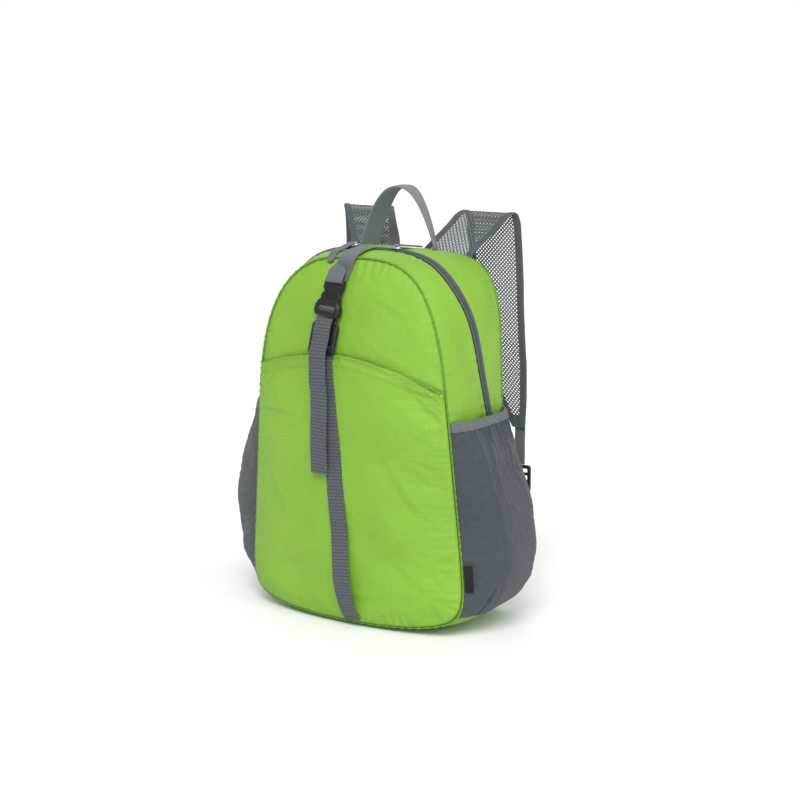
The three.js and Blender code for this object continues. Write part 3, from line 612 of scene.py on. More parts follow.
def tone_group() -> bpy.types.NodeTree:
    """Builds the slow unevenness of a dyed and handled surface.

    Returns:
        A group whose Broad and Fine are noise from 0 to 1, and whose Dust gathers on faces that look up.
    """
    group = GroupMaker("uneven_tone", {"Broad": 9.0, "Fine": 160.0}, ("Broad", "Fine", "Dust"))
    write = group.write
    place = write.node("TexCoord").outputs["Object"]
    broad = write.noise(place, group.inputs["Broad"], 2.0)
    fine = write.noise(place, group.inputs["Fine"], 4.0)
    up = write.node("SeparateXYZ", {0: write.node("NewGeometry").outputs["Normal"]}).outputs[2]
    dust = write.math("MULTIPLY", write.ramp(up, 0.4, 1.0), write.ramp(fine, 0.4, 0.75))
    return group.finish(Broad=broad, Fine=fine, Dust=dust)


def edge_wear_group() -> bpy.types.NodeTree:
    """Builds rubbed edges.

    Returns:
        A group whose Worn is 1 on sharp outer edges, broken up by noise.
    """
    group = GroupMaker("edge_wear", {"Start": 0.56, "Full": 0.7}, ("Worn",))
    write = group.write
    sharp = write.node("NewGeometry").outputs["Pointiness"]
    span = write.math("SUBTRACT", group.inputs["Full"], group.inputs["Start"])
    over = write.math("DIVIDE", write.math("SUBTRACT", sharp, group.inputs["Start"]), span, clamp=True)
    rough = write.noise(write.node("TexCoord").outputs["Object"], 420.0, 4.0)
    return group.finish(Worn=write.math("MULTIPLY", over, write.ramp(rough, 0.35, 0.65)))


class Effects:
    """The shader groups that several finishes share, built once."""

    def __init__(self) -> None:
        """Builds the groups."""
        self.ripstop = ripstop_group()
        self.webbing = webbing_group()
        self.knit = knit_group()
        self.tone = tone_group()
        self.wear = edge_wear_group()

    @staticmethod
    def place(write: NodeWriter, tree: bpy.types.NodeTree, **values: float) -> bpy.types.bpy_prop_collection:
        """Puts a group into a material.

        Args:
            write: The material's writer.
            tree: The group.
            values: Its inputs, by name.

        Returns:
            Its outputs.
        """
        made = write.node("Group", node_tree=tree)
        for name, value in values.items():
            made.inputs[name].default_value = value
        return made.outputs


EFFECTS = Effects()
BUILT: dict[str, bpy.types.Material] = {}


class Weave(Enum):
    """The kinds of surface relief that a finish can have."""

    RIPSTOP = "ripstop"
    WEBBING = "webbing"
    KNIT = "knit"
    PLAIN = "plain"


@dataclass(frozen=True)
class Finish:
    """One surface finish: its colours, its gloss and the relief of its threads or grain."""

    name: str
    colour: tuple[float, float, float]
    # Second colour: the ripstop grid's thicker threads, the gaps of webbing and knit (painted shade where it
    # is darker than the first colour), and rubbed edges.
    shade: tuple[float, float, float]
    roughness: float = 0.6
    weave: Weave = Weave.PLAIN
    weave_sizes: tuple[tuple[str, float], ...] = ()
    line_share: float = 0.5
    relief: float = 0.0001
    sheen: float = 0.0
    metallic: float = 0.0
    coat: float = 0.0
    fade: float = 0.12
    glow: float = 0.0

    def material(self) -> bpy.types.Material:
        """Builds the material once.

        Returns:
            The material.
        """
        if self.name in BUILT:
            return BUILT[self.name]
        made = BUILT[self.name] = bpy.data.materials.new(self.name)
        made.use_nodes = True
        made.diffuse_color = (*self.colour, 1.0)
        write = NodeWriter(made.node_tree)
        shader = made.node_tree.nodes["Principled BSDF"]
        tone = EFFECTS.place(write, EFFECTS.tone)
        paler = tuple(min(1.0, c * (1 + self.fade)) for c in self.colour)
        darker = tuple(c * (1 - self.fade) for c in self.colour)
        colour = write.blend(write.ramp(tone["Broad"], 0.3, 0.7), (*darker, 1.0), (*paler, 1.0))
        height = tone["Fine"]
        if self.weave is not Weave.PLAIN:
            tree = getattr(EFFECTS, self.weave.value)
            threads = EFFECTS.place(write, tree, **dict(self.weave_sizes))
            # Ripstop takes the second colour on its grid's thicker threads; webbing and knit take it in the
            # gaps between pillows and ribs, as painted shade wherever it is darker than the first colour.
            marks = threads["Lines"] if self.weave is Weave.RIPSTOP else threads["Gaps"]
            colour = write.blend(write.math("MULTIPLY", marks, self.line_share), colour, (*self.shade, 1.0))
            height = write.math("ADD", threads["Height"], write.math("MULTIPLY", tone["Fine"], 0.15))
        elif self.metallic < 0.5:
            worn = EFFECTS.place(write, EFFECTS.wear)["Worn"]
            colour = write.blend(write.math("MULTIPLY", worn, 0.5), colour, (*self.shade, 1.0))
        dusty = write.math("MULTIPLY", tone["Dust"], 0.03 if self.metallic < 0.5 else 0.0)
        colour = write.blend(dusty, colour, (0.5, 0.49, 0.46, 1.0))
        bump = write.node("Bump", {"Height": height, "Strength": 1.0, "Distance": self.relief})
        rough = write.ramp(tone["Fine"], 0.25, 0.75, self.roughness * 0.92, min(1.0, self.roughness * 1.1))
        write.put(shader.inputs["Base Color"], colour)
        write.put(shader.inputs["Roughness"], rough)
        write.put(shader.inputs["Normal"], bump.outputs["Normal"])
        shader.inputs["Metallic"].default_value = self.metallic
        shader.inputs["Sheen Weight"].default_value = self.sheen
        shader.inputs["Coat Weight"].default_value = self.coat
        shader.inputs["Subsurface Weight"].default_value = self.glow
        shader.inputs["Subsurface Scale"].default_value = 0.002
        return made


GREEN = Finish(
    "shell_ripstop", (0.2, 0.41, 0.026), (0.15, 0.32, 0.016), 0.55, Weave.RIPSTOP,
    (("Pitch", 0.0042), ("Line", 0.09), ("Weave", 0.0006)), 0.32, 0.00012, fade=0.05,
)
GREEN_HEM = Finish(
    "doubled_ripstop", (0.19, 0.39, 0.024), (0.14, 0.3, 0.015), 0.55, Weave.RIPSTOP,
    (("Pitch", 0.0042), ("Line", 0.1), ("Weave", 0.0006)), 0.4, 0.00012, fade=0.05,
)
# A copy of the shell ripstop darkened with painted shade, for the dark line that shade lays along the folded
# seams and the pocket's mouth.
SHADED_SEAM_GREEN = Finish(
    "seam_ripstop", (0.12, 0.27, 0.018), (0.08, 0.19, 0.01), 0.6, Weave.RIPSTOP,
    (("Pitch", 0.0042), ("Line", 0.12), ("Weave", 0.0006)), 0.4, 0.00012, fade=0.08,
)
STRETCH = Finish(
    "stretch_knit", (0.048, 0.058, 0.069), (0.023, 0.027, 0.034), 0.85, Weave.KNIT,
    (("Rib", 0.0012), ("Course", 0.0009)), 0.5, 0.00012, 0.15, fade=0.08,
)
WEBBING = Finish(
    "woven_web", (0.078, 0.091, 0.105), (0.018, 0.021, 0.026), 0.78, Weave.WEBBING,
    (("Across", 0.0046), ("Along", 0.0036)), 0.9, 0.001, 0.15, fade=0.08,
)
SMOOTH_WEB = Finish(
    "close_woven_tape", (0.11, 0.124, 0.14), (0.055, 0.062, 0.072), 0.72, Weave.WEBBING,
    (("Across", 0.0010), ("Along", 0.0009)), 0.45, 0.00012, 0.15, fade=0.06,
)
HANDLE = Finish(
    "handle_web", (0.17, 0.186, 0.21), (0.08, 0.09, 0.103), 0.75, Weave.WEBBING,
    (("Across", 0.0012), ("Along", 0.0016)), 0.45, 0.0002, 0.15, fade=0.06,
)
BINDING = Finish(
    "edge_binding", (0.071, 0.083, 0.099), (0.022, 0.026, 0.031), 0.75, Weave.WEBBING,
    (("Across", 0.0010), ("Along", 0.0012)), 0.5, 0.00016, 0.15, fade=0.08,
)
NET = Finish(
    "strap_net", (0.114, 0.13, 0.148), (0.07, 0.078, 0.086), 0.75, relief=0.00005, sheen=0.1, fade=0.05
)
ZIP_TAPE = Finish(
    "zip_tape", (0.076, 0.088, 0.105), (0.025, 0.03, 0.036), 0.72, Weave.KNIT,
    (("Rib", 0.0009), ("Course", 0.0007)), 0.5, 0.0001, 0.1, fade=0.06,
)
COIL = Finish("zip_coil", (0.1, 0.105, 0.13), (0.05, 0.05, 0.06), 0.5, relief=0.00002, fade=0.05)
PLASTIC = Finish("buckle_plastic", (0.007, 0.007, 0.008), (0.02, 0.02, 0.021), 0.42, relief=0.00003, fade=0.1)
CHROME = Finish(
    "zip_metal", (0.62, 0.63, 0.66), (0.4, 0.4, 0.42), 0.2, relief=0.00001, metallic=1.0, fade=0.04
)
LABEL = Finish(
    "label_tape", (0.004, 0.004, 0.005), (0.009, 0.009, 0.01), 0.85, Weave.WEBBING,
    (("Across", 0.0006), ("Along", 0.0006)), 0.5, 0.00006, fade=0.05,
)
GREEN_THREAD = Finish("green_thread", (0.15, 0.32, 0.025), (0.12, 0.28, 0.02), 0.6, relief=0.00002, fade=0.05)
GREY_THREAD = Finish("grey_thread", (0.13, 0.142, 0.155), (0.07, 0.08, 0.09), 0.6, relief=0.00002, fade=0.05)


@dataclass
class PieceMaker:
    """Turns points and faces into named pieces that ride with the bag."""

    names: list[str] = field(default_factory=list)

    def mesh(
        self, name: str, points: Points, faces: Faces, finish: Finish, slot: str,
        cut: Optional[Points] = None,
        wall: float = 0.0, sharp: float = 60.0, node: str = "",
    ) -> bpy.types.Object:
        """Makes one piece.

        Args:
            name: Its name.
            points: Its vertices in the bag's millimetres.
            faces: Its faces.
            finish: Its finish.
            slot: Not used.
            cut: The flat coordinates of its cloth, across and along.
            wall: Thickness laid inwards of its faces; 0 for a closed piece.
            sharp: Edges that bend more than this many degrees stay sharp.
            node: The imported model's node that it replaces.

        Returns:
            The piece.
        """
        data = bpy.data.meshes.new(name)
        data.from_pydata(to_frame(points).tolist(), [], [tuple(int(i) for i in f) for f in faces])
        flat = np.zeros((len(points), 3), np.float32)
        flat[:, :2] = np.asarray(np.asarray(points)[:, [0, 2]] if cut is None else cut) / 1000.0
        data.attributes.new("cut", "FLOAT_VECTOR", "POINT").data.foreach_set("vector", flat.ravel())
        data.materials.append(finish.material())
        data.validate()
        data.shade_smooth()
        data.set_sharp_from_angle(angle=math.radians(sharp))
        piece = bpy.data.objects.new(name, data)
        bpy.context.scene.collection.objects.link(piece)
        if wall:
            solid = piece.modifiers.new("wall", "SOLIDIFY")
            solid.thickness = wall / 1000.0
            solid.offset = -1.0
        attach(piece, "root")
        if node:
            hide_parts(node)
        self.names.append(name)
        LOG.info("%s: %d points, %d faces", name, len(data.vertices), len(data.polygons))
        return piece


MAKER = PieceMaker()


def declare_cut(piece: bpy.types.Object, ease: float = 1.0) -> None:
    """Measures the size and area of a piece's own flat coordinates, and keeps neither.

    Args:
        piece: The piece.
        ease: How much wider the cut is than the gathered cloth.
    """
    data = piece.data
    flat = np.zeros(len(data.vertices) * 3, np.float32)
    data.attributes["cut"].data.foreach_get("vector", flat)
    flat = flat.reshape(-1, 3)[:, :2].astype(float)
    area = 0.0
    for polygon in data.polygons:
        x, y = flat[list(polygon.vertices)].T
        area += 0.5 * abs(float(np.dot(x, np.roll(y, -1)) - np.dot(y, np.roll(x, -1))))
    width, length = (flat.max(0) - flat.min(0)) * [ease, 1.0]
    area = min(area * ease, width * length)


def grid_faces(
    rows: int, columns: int, closed: bool = False, caps: bool = False, flip: bool = False
) -> Faces:
    """Faces of a grid of points, facing along columns crossed with rows.

    Args:
        rows: How many rows of points.
        columns: How many points in a row.
        closed: Whether each row runs round to its start.
        caps: Whether the first and last rows are filled in.
        flip: Whether they face the other way.

    Returns:
        The faces.
    """
    j, i = np.meshgrid(np.arange(rows - 1), np.arange(columns if closed else columns - 1), indexing="ij")
    k = (i + 1) % columns
    corners = [j * columns + i, j * columns + k, (j + 1) * columns + k, (j + 1) * columns + i]
    quads = np.stack(corners, axis=-1)
    faces = [tuple(q) for q in quads.reshape(-1, 4).tolist()]
    if caps:
        last = (rows - 1) * columns
        faces += [tuple(range(columns))[::-1], tuple(range(last, last + columns))]
    return [face[::-1] for face in faces] if flip else faces


def around(count: int) -> Points:
    """Even angles round a circle."""
    return np.linspace(0, 2 * math.pi, count + 1)[:-1]


def line_lengths(line: Points) -> Points:
    """How far along a line of points each point lies."""
    return np.concatenate([[0.0], np.cumsum(np.linalg.norm(np.diff(line, axis=0), axis=1))])


def read_rows(at: Points, places: Points, rows: Points) -> Points:
    """A table of points read at places between its rows."""
    return np.stack([np.interp(at, places, column) for column in rows.T], axis=-1)


def resample(line: Points, pitch: float) -> Points:
    """The same line with points at about an even pitch."""
    at = line_lengths(line)
    return read_rows(np.linspace(0, at[-1], max(2, int(round(at[-1] / pitch)) + 1)), at, line)


@dataclass
class PlanPanel:
    """A panel cut to an outline in plan and laid over a face of the bag, in even small triangles."""

    outline: Points
    pitch: float = 2.6

    def __post_init__(self) -> None:
        """Fills the outline with points and triangles, and measures each point's way to the edge."""
        edge = resample(np.vstack([self.outline, self.outline[:1]]), self.pitch)[:-1]
        low, high = edge.min(0), edge.max(0)
        inside = []
        for k, z in enumerate(np.arange(low[1], high[1], self.pitch * math.sqrt(3) / 2)):
            x = np.arange(low[0] + (k % 2) * self.pitch / 2, high[0], self.pitch)
            inside.append(np.stack([x, np.full_like(x, z)], axis=1))
        inside = np.vstack(inside)
        distance, _ = self.measure(inside, edge)
        inside = inside[self.contains(inside, edge) & (distance > self.pitch * 0.6)]
        count = len(edge)
        ring = [(k, (k + 1) % count) for k in range(count)]
        both = np.vstack([edge, inside])
        made = delaunay_2d_cdt([Vector(p) for p in both.tolist()], ring, [list(range(count))], 1, 1e-5)
        self.places = np.array([[p.x, p.y] for p in made[0]])
        self.faces = [tuple(f) for f in made[2]]
        self.distance, self.along = self.measure(self.places, edge)

    @staticmethod
    def contains(points: Points, edge: Points) -> Points:
        """Whether points lie inside a closed line."""
        inside = np.zeros(len(points), bool)
        for (x0, z0), (x1, z1) in zip(edge, np.roll(edge, -1, axis=0)):
            crosses = (z0 > points[:, 1]) != (z1 > points[:, 1])
            with np.errstate(divide="ignore", invalid="ignore"):
                reach = (x1 - x0) * (points[:, 1] - z0) / (z1 - z0) + x0
            inside ^= crosses & (points[:, 0] < reach)
        return inside

    @staticmethod
    def measure(points: Points, edge: Points) -> tuple[Points, Points]:
        """Distance to a closed line, and how far along it the nearest place is."""
        way = np.roll(edge, -1, axis=0) - edge
        length = np.linalg.norm(way, axis=1)
        at = np.concatenate([[0.0], np.cumsum(length)[:-1]])
        distance, along = np.empty(len(points)), np.empty(len(points))
        batch = 2000
        for low in range(0, len(points), batch):
            part = points[low : low + batch, None, :] - edge[None]
            t = np.clip((part * way[None]).sum(-1) / (length**2)[None], 0, 1)
            gap = np.linalg.norm(part - t[..., None] * way[None], axis=-1)
            best = gap.argmin(1)
            rows = np.arange(len(best))
            distance[low : low + batch] = gap[rows, best]
            along[low : low + batch] = at[best] + t[rows, best] * length[best]
        return distance, along

    def lay(self, face: Callable[[Points, Points], Points]) -> Points:
        """Points of the panel with their depth given by a face."""
        x, z = self.places.T
        return np.stack([x, face(x, z), z], axis=1)


def seam_pucker(
    distance: Points, along: Points, seed: int, height: float = 0.55, reach: float = 9.0
) -> Points:
    """Small gathers that a seam draws into the cloth beside it, and the groove of the seam itself.

    Args:
        distance: Ways to the seam.
        along: Places along the seam.
        seed: Which gathers.
        height: How high they are.
        reach: How far they run from the seam.

    Returns:
        Heights outwards.
    """
    gathers = Crumple(seed, 9.0, height, 0.0, 1.0).at(along, np.zeros_like(along))
    slow = 0.55 + 0.45 * Crumple(seed + 1, 70.0, 0.8, 0.0, 1.0).at(along, np.zeros_like(along))
    fade = np.exp(-distance / reach) * smoothstep(distance, 0.0, 2.5)
    return gathers * slow * fade - 1.1 * np.exp(-((distance / 1.5) ** 2))


@dataclass(frozen=True)
class Settling:
    """A cloth simulation that lets a sewn panel find its own wrinkles inside its seams."""

    frames: int = 14
    slack: float = 0.012
    pressure: float = 1.5
    cap: float = 2.2
    stiffness: float = 6.0
    bending: float = 0.12

    def cloth(self, piece: bpy.types.Object, pins: bpy.types.VertexGroup) -> bpy.types.Modifier:
        """The panel's cloth rules, pinned along its seams."""
        cloth = piece.modifiers.new("settling", "CLOTH")
        rules = cloth.settings
        rules.quality = 6
        rules.mass = 0.15
        rules.tension_stiffness = self.stiffness
        rules.compression_stiffness = self.stiffness
        rules.shear_stiffness = self.stiffness / 2
        rules.bending_stiffness = self.bending
        rules.vertex_group_mass = pins.name
        rules.shrink_min = -self.slack
        rules.use_pressure = True
        rules.uniform_pressure_force = self.pressure
        rules.effector_weights.gravity = 0.0
        cloth.collision_settings.use_collision = False
        cloth.point_cache.frame_start = 1
        cloth.point_cache.frame_end = self.frames + 1
        return cloth

    def run(self, piece: bpy.types.Object, held: Points) -> None:
        """Simulates the panel and keeps the result in its mesh.

        Args:
            piece: The panel.
            held: How firmly the seams hold each of its vertices, from 0 to 1.
        """
        mesh, scene = piece.data, bpy.context.scene
        before = np.zeros(len(mesh.vertices) * 3)
        mesh.vertices.foreach_get("co", before)
        walls = [m for m in piece.modifiers if m.type == "SOLIDIFY"]
        for wall in walls:
            wall.show_viewport = False
        pins = piece.vertex_groups.new(name="seam")
        sewn = held >= 1.0 - 1e-6
        pins.add([int(i) for i in np.nonzero(sewn)[0]], 1.0, "REPLACE")
        for level in (0.6, 0.3):
            near = (held >= level - 0.2) & (held < level + 0.2) & ~sewn
            pins.add([int(i) for i in np.nonzero(near)[0]], level, "REPLACE")
        cloth = self.cloth(piece, pins)
        for number in range(1, self.frames + 1):
            scene.frame_set(number)
        settled = piece.evaluated_get(bpy.context.evaluated_depsgraph_get())
        after = np.zeros(len(mesh.vertices) * 3)
        settled.data.vertices.foreach_get("co", after)
        piece.modifiers.remove(cloth)
        piece.vertex_groups.remove(pins)
        scene.frame_set(1)
        move = (after - before).reshape(-1, 3)
        far = np.linalg.norm(move, axis=1, keepdims=True)
        move *= np.minimum(1.0, self.cap / 1000.0 / np.maximum(far, 1e-9))
        mesh.vertices.foreach_set("co", (before.reshape(-1, 3) + move).ravel())
        mesh.update()
        for wall in walls:
            wall.show_viewport = True
        LOG.info("%s settled by up to %.1f mm", piece.name, 1000 * float(np.linalg.norm(move, axis=1).max()))


def sewn_hold(distance: Points, reach: float = 5.0) -> Points:
    """How firmly a seam holds cloth at ways from it: 1 on it, 0 beyond its reach."""
    return np.where(distance < 1.0, 1.0, np.clip(0.9 - distance / reach, 0.0, 0.9))


@dataclass
class StitchWork:
    """Rows of stitches gathered into one piece."""

    name: str
    finish: Finish
    slot: str
    length: float = 2.5
    gap: float = 1.1
    width: float = 0.55
    points: list[Points] = field(default_factory=list)
    faces: list[tuple[int, int, int]] = field(default_factory=list)

    def row(self, line: Points, outward: Points) -> None:
        """Adds stitches along a line.

        Args:
            line: Points of the line on the cloth.
            outward: The cloth's outward way at each point.
        """
        at = line_lengths(line)
        for start in np.arange(self.gap, at[-1] - self.length, self.length + self.gap):
            first, middle, last = (read_rows(start + share * self.length, at, line) for share in (0, 0.5, 1))
            out = unit(read_rows(start + self.length / 2, at, outward))
            side = unit(np.cross(last - first, out)) * self.width / 2
            rise = out * self.width * 0.55
            middle = middle + out * 0.1
            base = len(self.points)
            self.points += [first, last, middle + side, middle + rise, middle - side, middle - rise * 0.6]
            for a, b in ((2, 3), (3, 4), (4, 5), (5, 2)):
                self.faces += [(base, base + b, base + a), (base + 1, base + a, base + b)]

    def sew(self) -> None:
        """Makes the piece from all its rows."""
        MAKER.mesh(self.name, np.array(self.points), self.faces, self.finish, self.slot)


def sweep(centres: Points, across: Points, outward: Points, section: Points, flip: bool = False) -> Swept:
    """A closed solid of one section along a line.

    Args:
        centres: Points of the line.
        across: The section's first way at each point.
        outward: The section's second way at each point.
        section: The section's points, counter-clockwise.
        flip: Whether its faces are turned.

    Returns:
        Points, faces, and the flat coordinates of its surface.
    """
    rows, columns = len(centres), len(section)
    grid = (
        centres[:, None]
        + section[None, :, 0, None] * across[:, None]
        + section[None, :, 1, None] * outward[:, None]
    )
    wide = np.linalg.norm(across, axis=1)
    flat = [(section[None, :, 0] * wide[:, None]).ravel(), np.repeat(line_lengths(centres), columns)]
    return grid.reshape(-1, 3), grid_faces(rows, columns, True, True, flip), np.stack(flat, axis=1)


def tape_section(width: float, thickness: float, steps: int = 10, selvedge: float = 0.12) -> Points:
    """The section of a woven tape, slightly thicker at its edges.

    Args:
        width: The tape's width.
        thickness: Its thickness.
        steps: How many points lie across each face.
        selvedge: How much thicker its edges are, as a share.

    Returns:
        Points, counter-clockwise.
    """
    r = thickness / 2
    x = np.linspace(-width / 2 + r, width / 2 - r, steps)
    swell = 1 + selvedge * smoothstep(np.abs(x), width / 2 - 3.2 * r, width / 2 - 1.6 * r)
    low = np.stack([x, -r * swell], axis=1)
    high = np.stack([x[::-1], r * swell[::-1]], axis=1)
    turn = np.linspace(-math.pi / 2, math.pi / 2, 5)[1:-1]
    right = np.stack([width / 2 - r + r * np.cos(turn), r * (1 + selvedge) * np.sin(turn)], axis=1)
    left = np.stack([-right[:, 0], right[:, 1]], axis=1)[::-1]
    return np.vstack([low, right, high, left])


@dataclass
class Tape:
    """A web or tape along a line, with its outer face on the line's outer side."""

    name: str
    line: Points
    across: float
    width: float
    thickness: float
    finish: Finish
    pitch: float = 1.6
    round_start: bool = False
    round_end: bool = False
    ripple: float = 0.12

    def __post_init__(self) -> None:
        """Smooths the line and works out the way that it faces at each point."""
        smooth = SmoothLine(self.line)
        t = smooth.t_of(np.linspace(0, 1, max(8, int(smooth.lengths[-1] / self.pitch))))
        self.centres = smooth.at(t)
        side = np.tile([self.across, 0.0, 0.0], (len(t), 1))
        ahead = unit(np.gradient(self.centres, axis=0))
        self.side = unit(side - ahead * (side * ahead).sum(1, keepdims=True))
        self.facing = unit(np.cross(self.side, ahead))
        self.lengths = line_lengths(self.centres)

    def rounded(self, points: Points, middle: Points, at_end: bool) -> Points:
        """The tape's points with one end narrowed to a half disc.

        Args:
            points: Its points, row by row.
            middle: The line through them.
            at_end: Whether the end is rounded, or the start.

        Returns:
            The changed points.
        """
        lengths = line_lengths(middle)
        share = np.clip((lengths[-1] - lengths if at_end else lengths) / (self.width / 2), 0, 1)
        narrow = np.sqrt(np.clip(1 - (1 - share) ** 2, 0.02, 1))
        grid = points.reshape(len(middle), -1, 3)
        side = unit(self.side)[:, None]
        reach = ((grid - middle[:, None]) * side).sum(-1, keepdims=True)
        return (grid + side * reach * (narrow[:, None, None] - 1)).reshape(-1, 3)

    def build(self, node: str) -> bpy.types.Object:
        """Makes the tape in place of a node."""
        middle = self.centres - self.facing * self.thickness / 2
        lengths = line_lengths(middle)
        wave = Crumple(len(self.name), 26.0, self.ripple, 0.0, 1.0).at(lengths, np.zeros_like(lengths))
        middle = middle + self.facing * wave[:, None]
        points, faces, cut = sweep(middle, self.side, self.facing, tape_section(self.width, self.thickness))
        for chosen, at_end in ((self.round_start, False), (self.round_end, True)):
            if chosen:
                points = self.rounded(points, middle, at_end)
        return MAKER.mesh(self.name, points, faces, self.finish, "webbing", cut, node=node)

    def edge_rows(self, work: StitchWork, inset: float, start: float, end: float, outer: bool = True) -> None:
        """Sews a row down each edge.

        Args:
            work: The stitching to add to.
            inset: How far inside the edges.
            start: Where the rows start along the tape.
            end: Where they end; below 0 counts from the tape's end.
            outer: Whether they lie on the outer face.
        """
        end = end if end > 0 else self.lengths[-1] + end
        places = np.linspace(start, end, max(4, int(abs(end - start) / 1.5)))
        for sign in (-1, 1):
            base = self.centres + self.side * (sign * (self.width / 2 - inset))
            if not outer:
                base = base - self.facing * self.thickness
            facing = self.facing if outer else -self.facing
            work.row(read_rows(places, self.lengths, base), read_rows(places, self.lengths, facing))


def box_stitches(
    work: StitchWork, rows: tuple[Points, Points, Points], half: float, span: tuple[float, float], steps: int,
    faces: Sequence[tuple[int, float]],
) -> None:
    """Sews a box with a cross through it onto a web.

    Args:
        work: The stitching to add to.
        rows: The web's middle line, its ways across and the ways that it faces.
        half: Half the box's width.
        span: Where the box starts and ends along the web.
        steps: How many points lie on each of its lines.
        faces: For each face sewn, the way it looks and how far it lies below the line.
    """
    start, end = span
    lengths = line_lengths(rows[0])
    corners = [(-half, start), (half, start), (half, end), (-half, end)]
    for a, b in ((0, 1), (1, 2), (2, 3), (3, 0), (0, 2), (1, 3)):
        share = np.linspace(0, 1, steps)
        off = mix(corners[a][0], corners[b][0], share)
        at = mix(corners[a][1], corners[b][1], share)
        line, side, facing = (read_rows(at, lengths, row) for row in rows)
        for sign, drop in faces:
            work.row(line + side * off[:, None] - facing * drop, sign * facing)


def tape_box(work: StitchWork, tape: Tape, start: float, length: float, inset: float) -> None:
    """Sews a crossed box through a tape, seen on both its faces."""
    for face in ((1, 0.0), (-1, tape.thickness)):
        rows = (tape.centres, tape.side, tape.facing)
        box_stitches(work, rows, tape.width / 2 - inset, (start, start + length), 10, (face,))


def plate(
    name: str, outline: Points, holes: Sequence[Points], thickness: float, ease: float,
    place: Callable[[Points], Points], finish: Finish, slot: str, node: str = "", rise: float = 0.0,
) -> None:
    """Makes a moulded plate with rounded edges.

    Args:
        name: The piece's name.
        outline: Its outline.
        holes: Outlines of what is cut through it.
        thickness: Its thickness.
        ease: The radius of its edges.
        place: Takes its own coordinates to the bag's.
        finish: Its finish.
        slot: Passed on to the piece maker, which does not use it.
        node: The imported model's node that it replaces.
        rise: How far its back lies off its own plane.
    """
    curve = bpy.data.curves.new(name + "_outline", "CURVE")
    curve.dimensions = "2D"
    curve.fill_mode = "BOTH"
    curve.extrude = thickness / 2 - ease
    curve.bevel_depth = ease
    curve.bevel_resolution = 2
    curve.offset = -ease
    for line in (outline, *holes):
        spline = curve.splines.new("POLY")
        spline.points.add(len(line) - 1)
        flat = np.zeros((len(line), 4))
        flat[:, :2] = line
        flat[:, 3] = 1
        spline.points.foreach_set("co", flat.ravel())
        spline.use_cyclic_u = True
    holder = bpy.data.objects.new(name + "_outline", curve)
    bpy.context.scene.collection.objects.link(holder)
    solid = bpy.data.meshes.new_from_object(holder.evaluated_get(bpy.context.evaluated_depsgraph_get()))
    points = np.zeros(len(solid.vertices) * 3)
    solid.vertices.foreach_get("co", points)
    points = points.reshape(-1, 3)
    points[:, 2] += thickness / 2
    points[:, 2] += rise
    faces = [tuple(p.vertices) for p in solid.polygons]
    bpy.data.objects.remove(holder)
    bpy.data.curves.remove(curve)
    bpy.data.meshes.remove(solid)
    MAKER.mesh(name, place(points), faces, finish, slot, sharp=40.0, node=node)


def arc_outline(corners: Corners, steps: int = 5) -> Points:
    """A closed outline with rounded corners.

    Args:
        corners: For each corner its place and its radius, in order.
        steps: How many points round each corner.

    Returns:
        The outline's points.
    """
    points = []
    for k, (x, y, radius) in enumerate(corners):
        here = np.array([x, y])
        to_before = unit(np.array(corners[k - 1][:2]) - here)
        to_after = unit(np.array(corners[(k + 1) % len(corners)][:2]) - here)
        half = math.acos(float(np.clip((to_before * to_after).sum(), -1, 1))) / 2
        back = radius / math.tan(half)
        centre = here + unit(to_before + to_after) * radius / math.sin(half)
        start, end = here + to_before * back - centre, here + to_after * back - centre
        points += [centre + unit(mix(start, end, s)) * radius for s in np.linspace(0, 1, steps)]
    return np.array(points)


def mirrored(rows: Corners) -> list[Corner]:
    """A symmetrical plate's corners from its left side: half width, height and corner radius."""
    left = [(-half, up, r) for half, up, r in rows]
    return left + [(half, up, r) for half, up, r in reversed(rows)]


def slot_outline(half: float, low: float, high: float, radius: float = 1.2) -> Points:
    """A rounded slot's outline."""
    corners = [(-half, low, radius), (-half, high, radius), (half, high, radius), (half, low, radius)]
    return arc_outline(corners, 4)


def seam_ring(
    name: str, depth: float, count: int, sides: int, radius: float, shift: tuple[float, float], wave: float,
) -> None:
    """Makes the folded seam that runs round one face of the bag, in ripstop darkened with painted shade.

    Args:
        name: The piece's name.
        depth: 0 for the front seam, 1 for the back seam.
        count: How many points lie along it.
        sides: How many points lie round it.
        radius: Its radius.
        shift: How far its middle lies outwards and beyond the face.
        wave: How uneven its radius is.
    """
    share = np.linspace(0, 1, count)[:-1]
    base = SHELL.skin(np.full_like(share, depth), share, 0.0)
    outward = SHELL.outward(np.full_like(share, depth), share)
    beyond = np.tile([0.0, 1.0 if depth else -1.0, 0.0], (len(share), 1))
    angle = around(sides)
    ripple = Crumple(41, 8.0, 1.0, 0.0, 1.0).at(share * SHELL.front.length, share * 0)
    uneven = (1 + wave * ripple)[:, None, None]
    ring = (
        base[:, None]
        + outward[:, None] * (shift[0] + radius * np.cos(angle)[None, :, None] * uneven)
        + beyond[:, None] * (shift[1] + radius * np.sin(angle)[None, :, None] * uneven)
    )
    ring[..., 2] = np.maximum(ring[..., 2], 0.0)
    last = (len(share) - 1) * sides
    faces = grid_faces(len(share), sides, True)
    faces += [(last + k, last + (k + 1) % sides, (k + 1) % sides, k) for k in range(sides)]
    cut = None
    if depth:
        faces = [face[::-1] for face in faces]
    else:
        cut = np.stack([np.tile(angle, len(share)), np.repeat(share * SHELL.front.length, sides)], 1)
    MAKER.mesh(name, ring.reshape(-1, 3), faces, SHADED_SEAM_GREEN, "shell_cloth", cut)


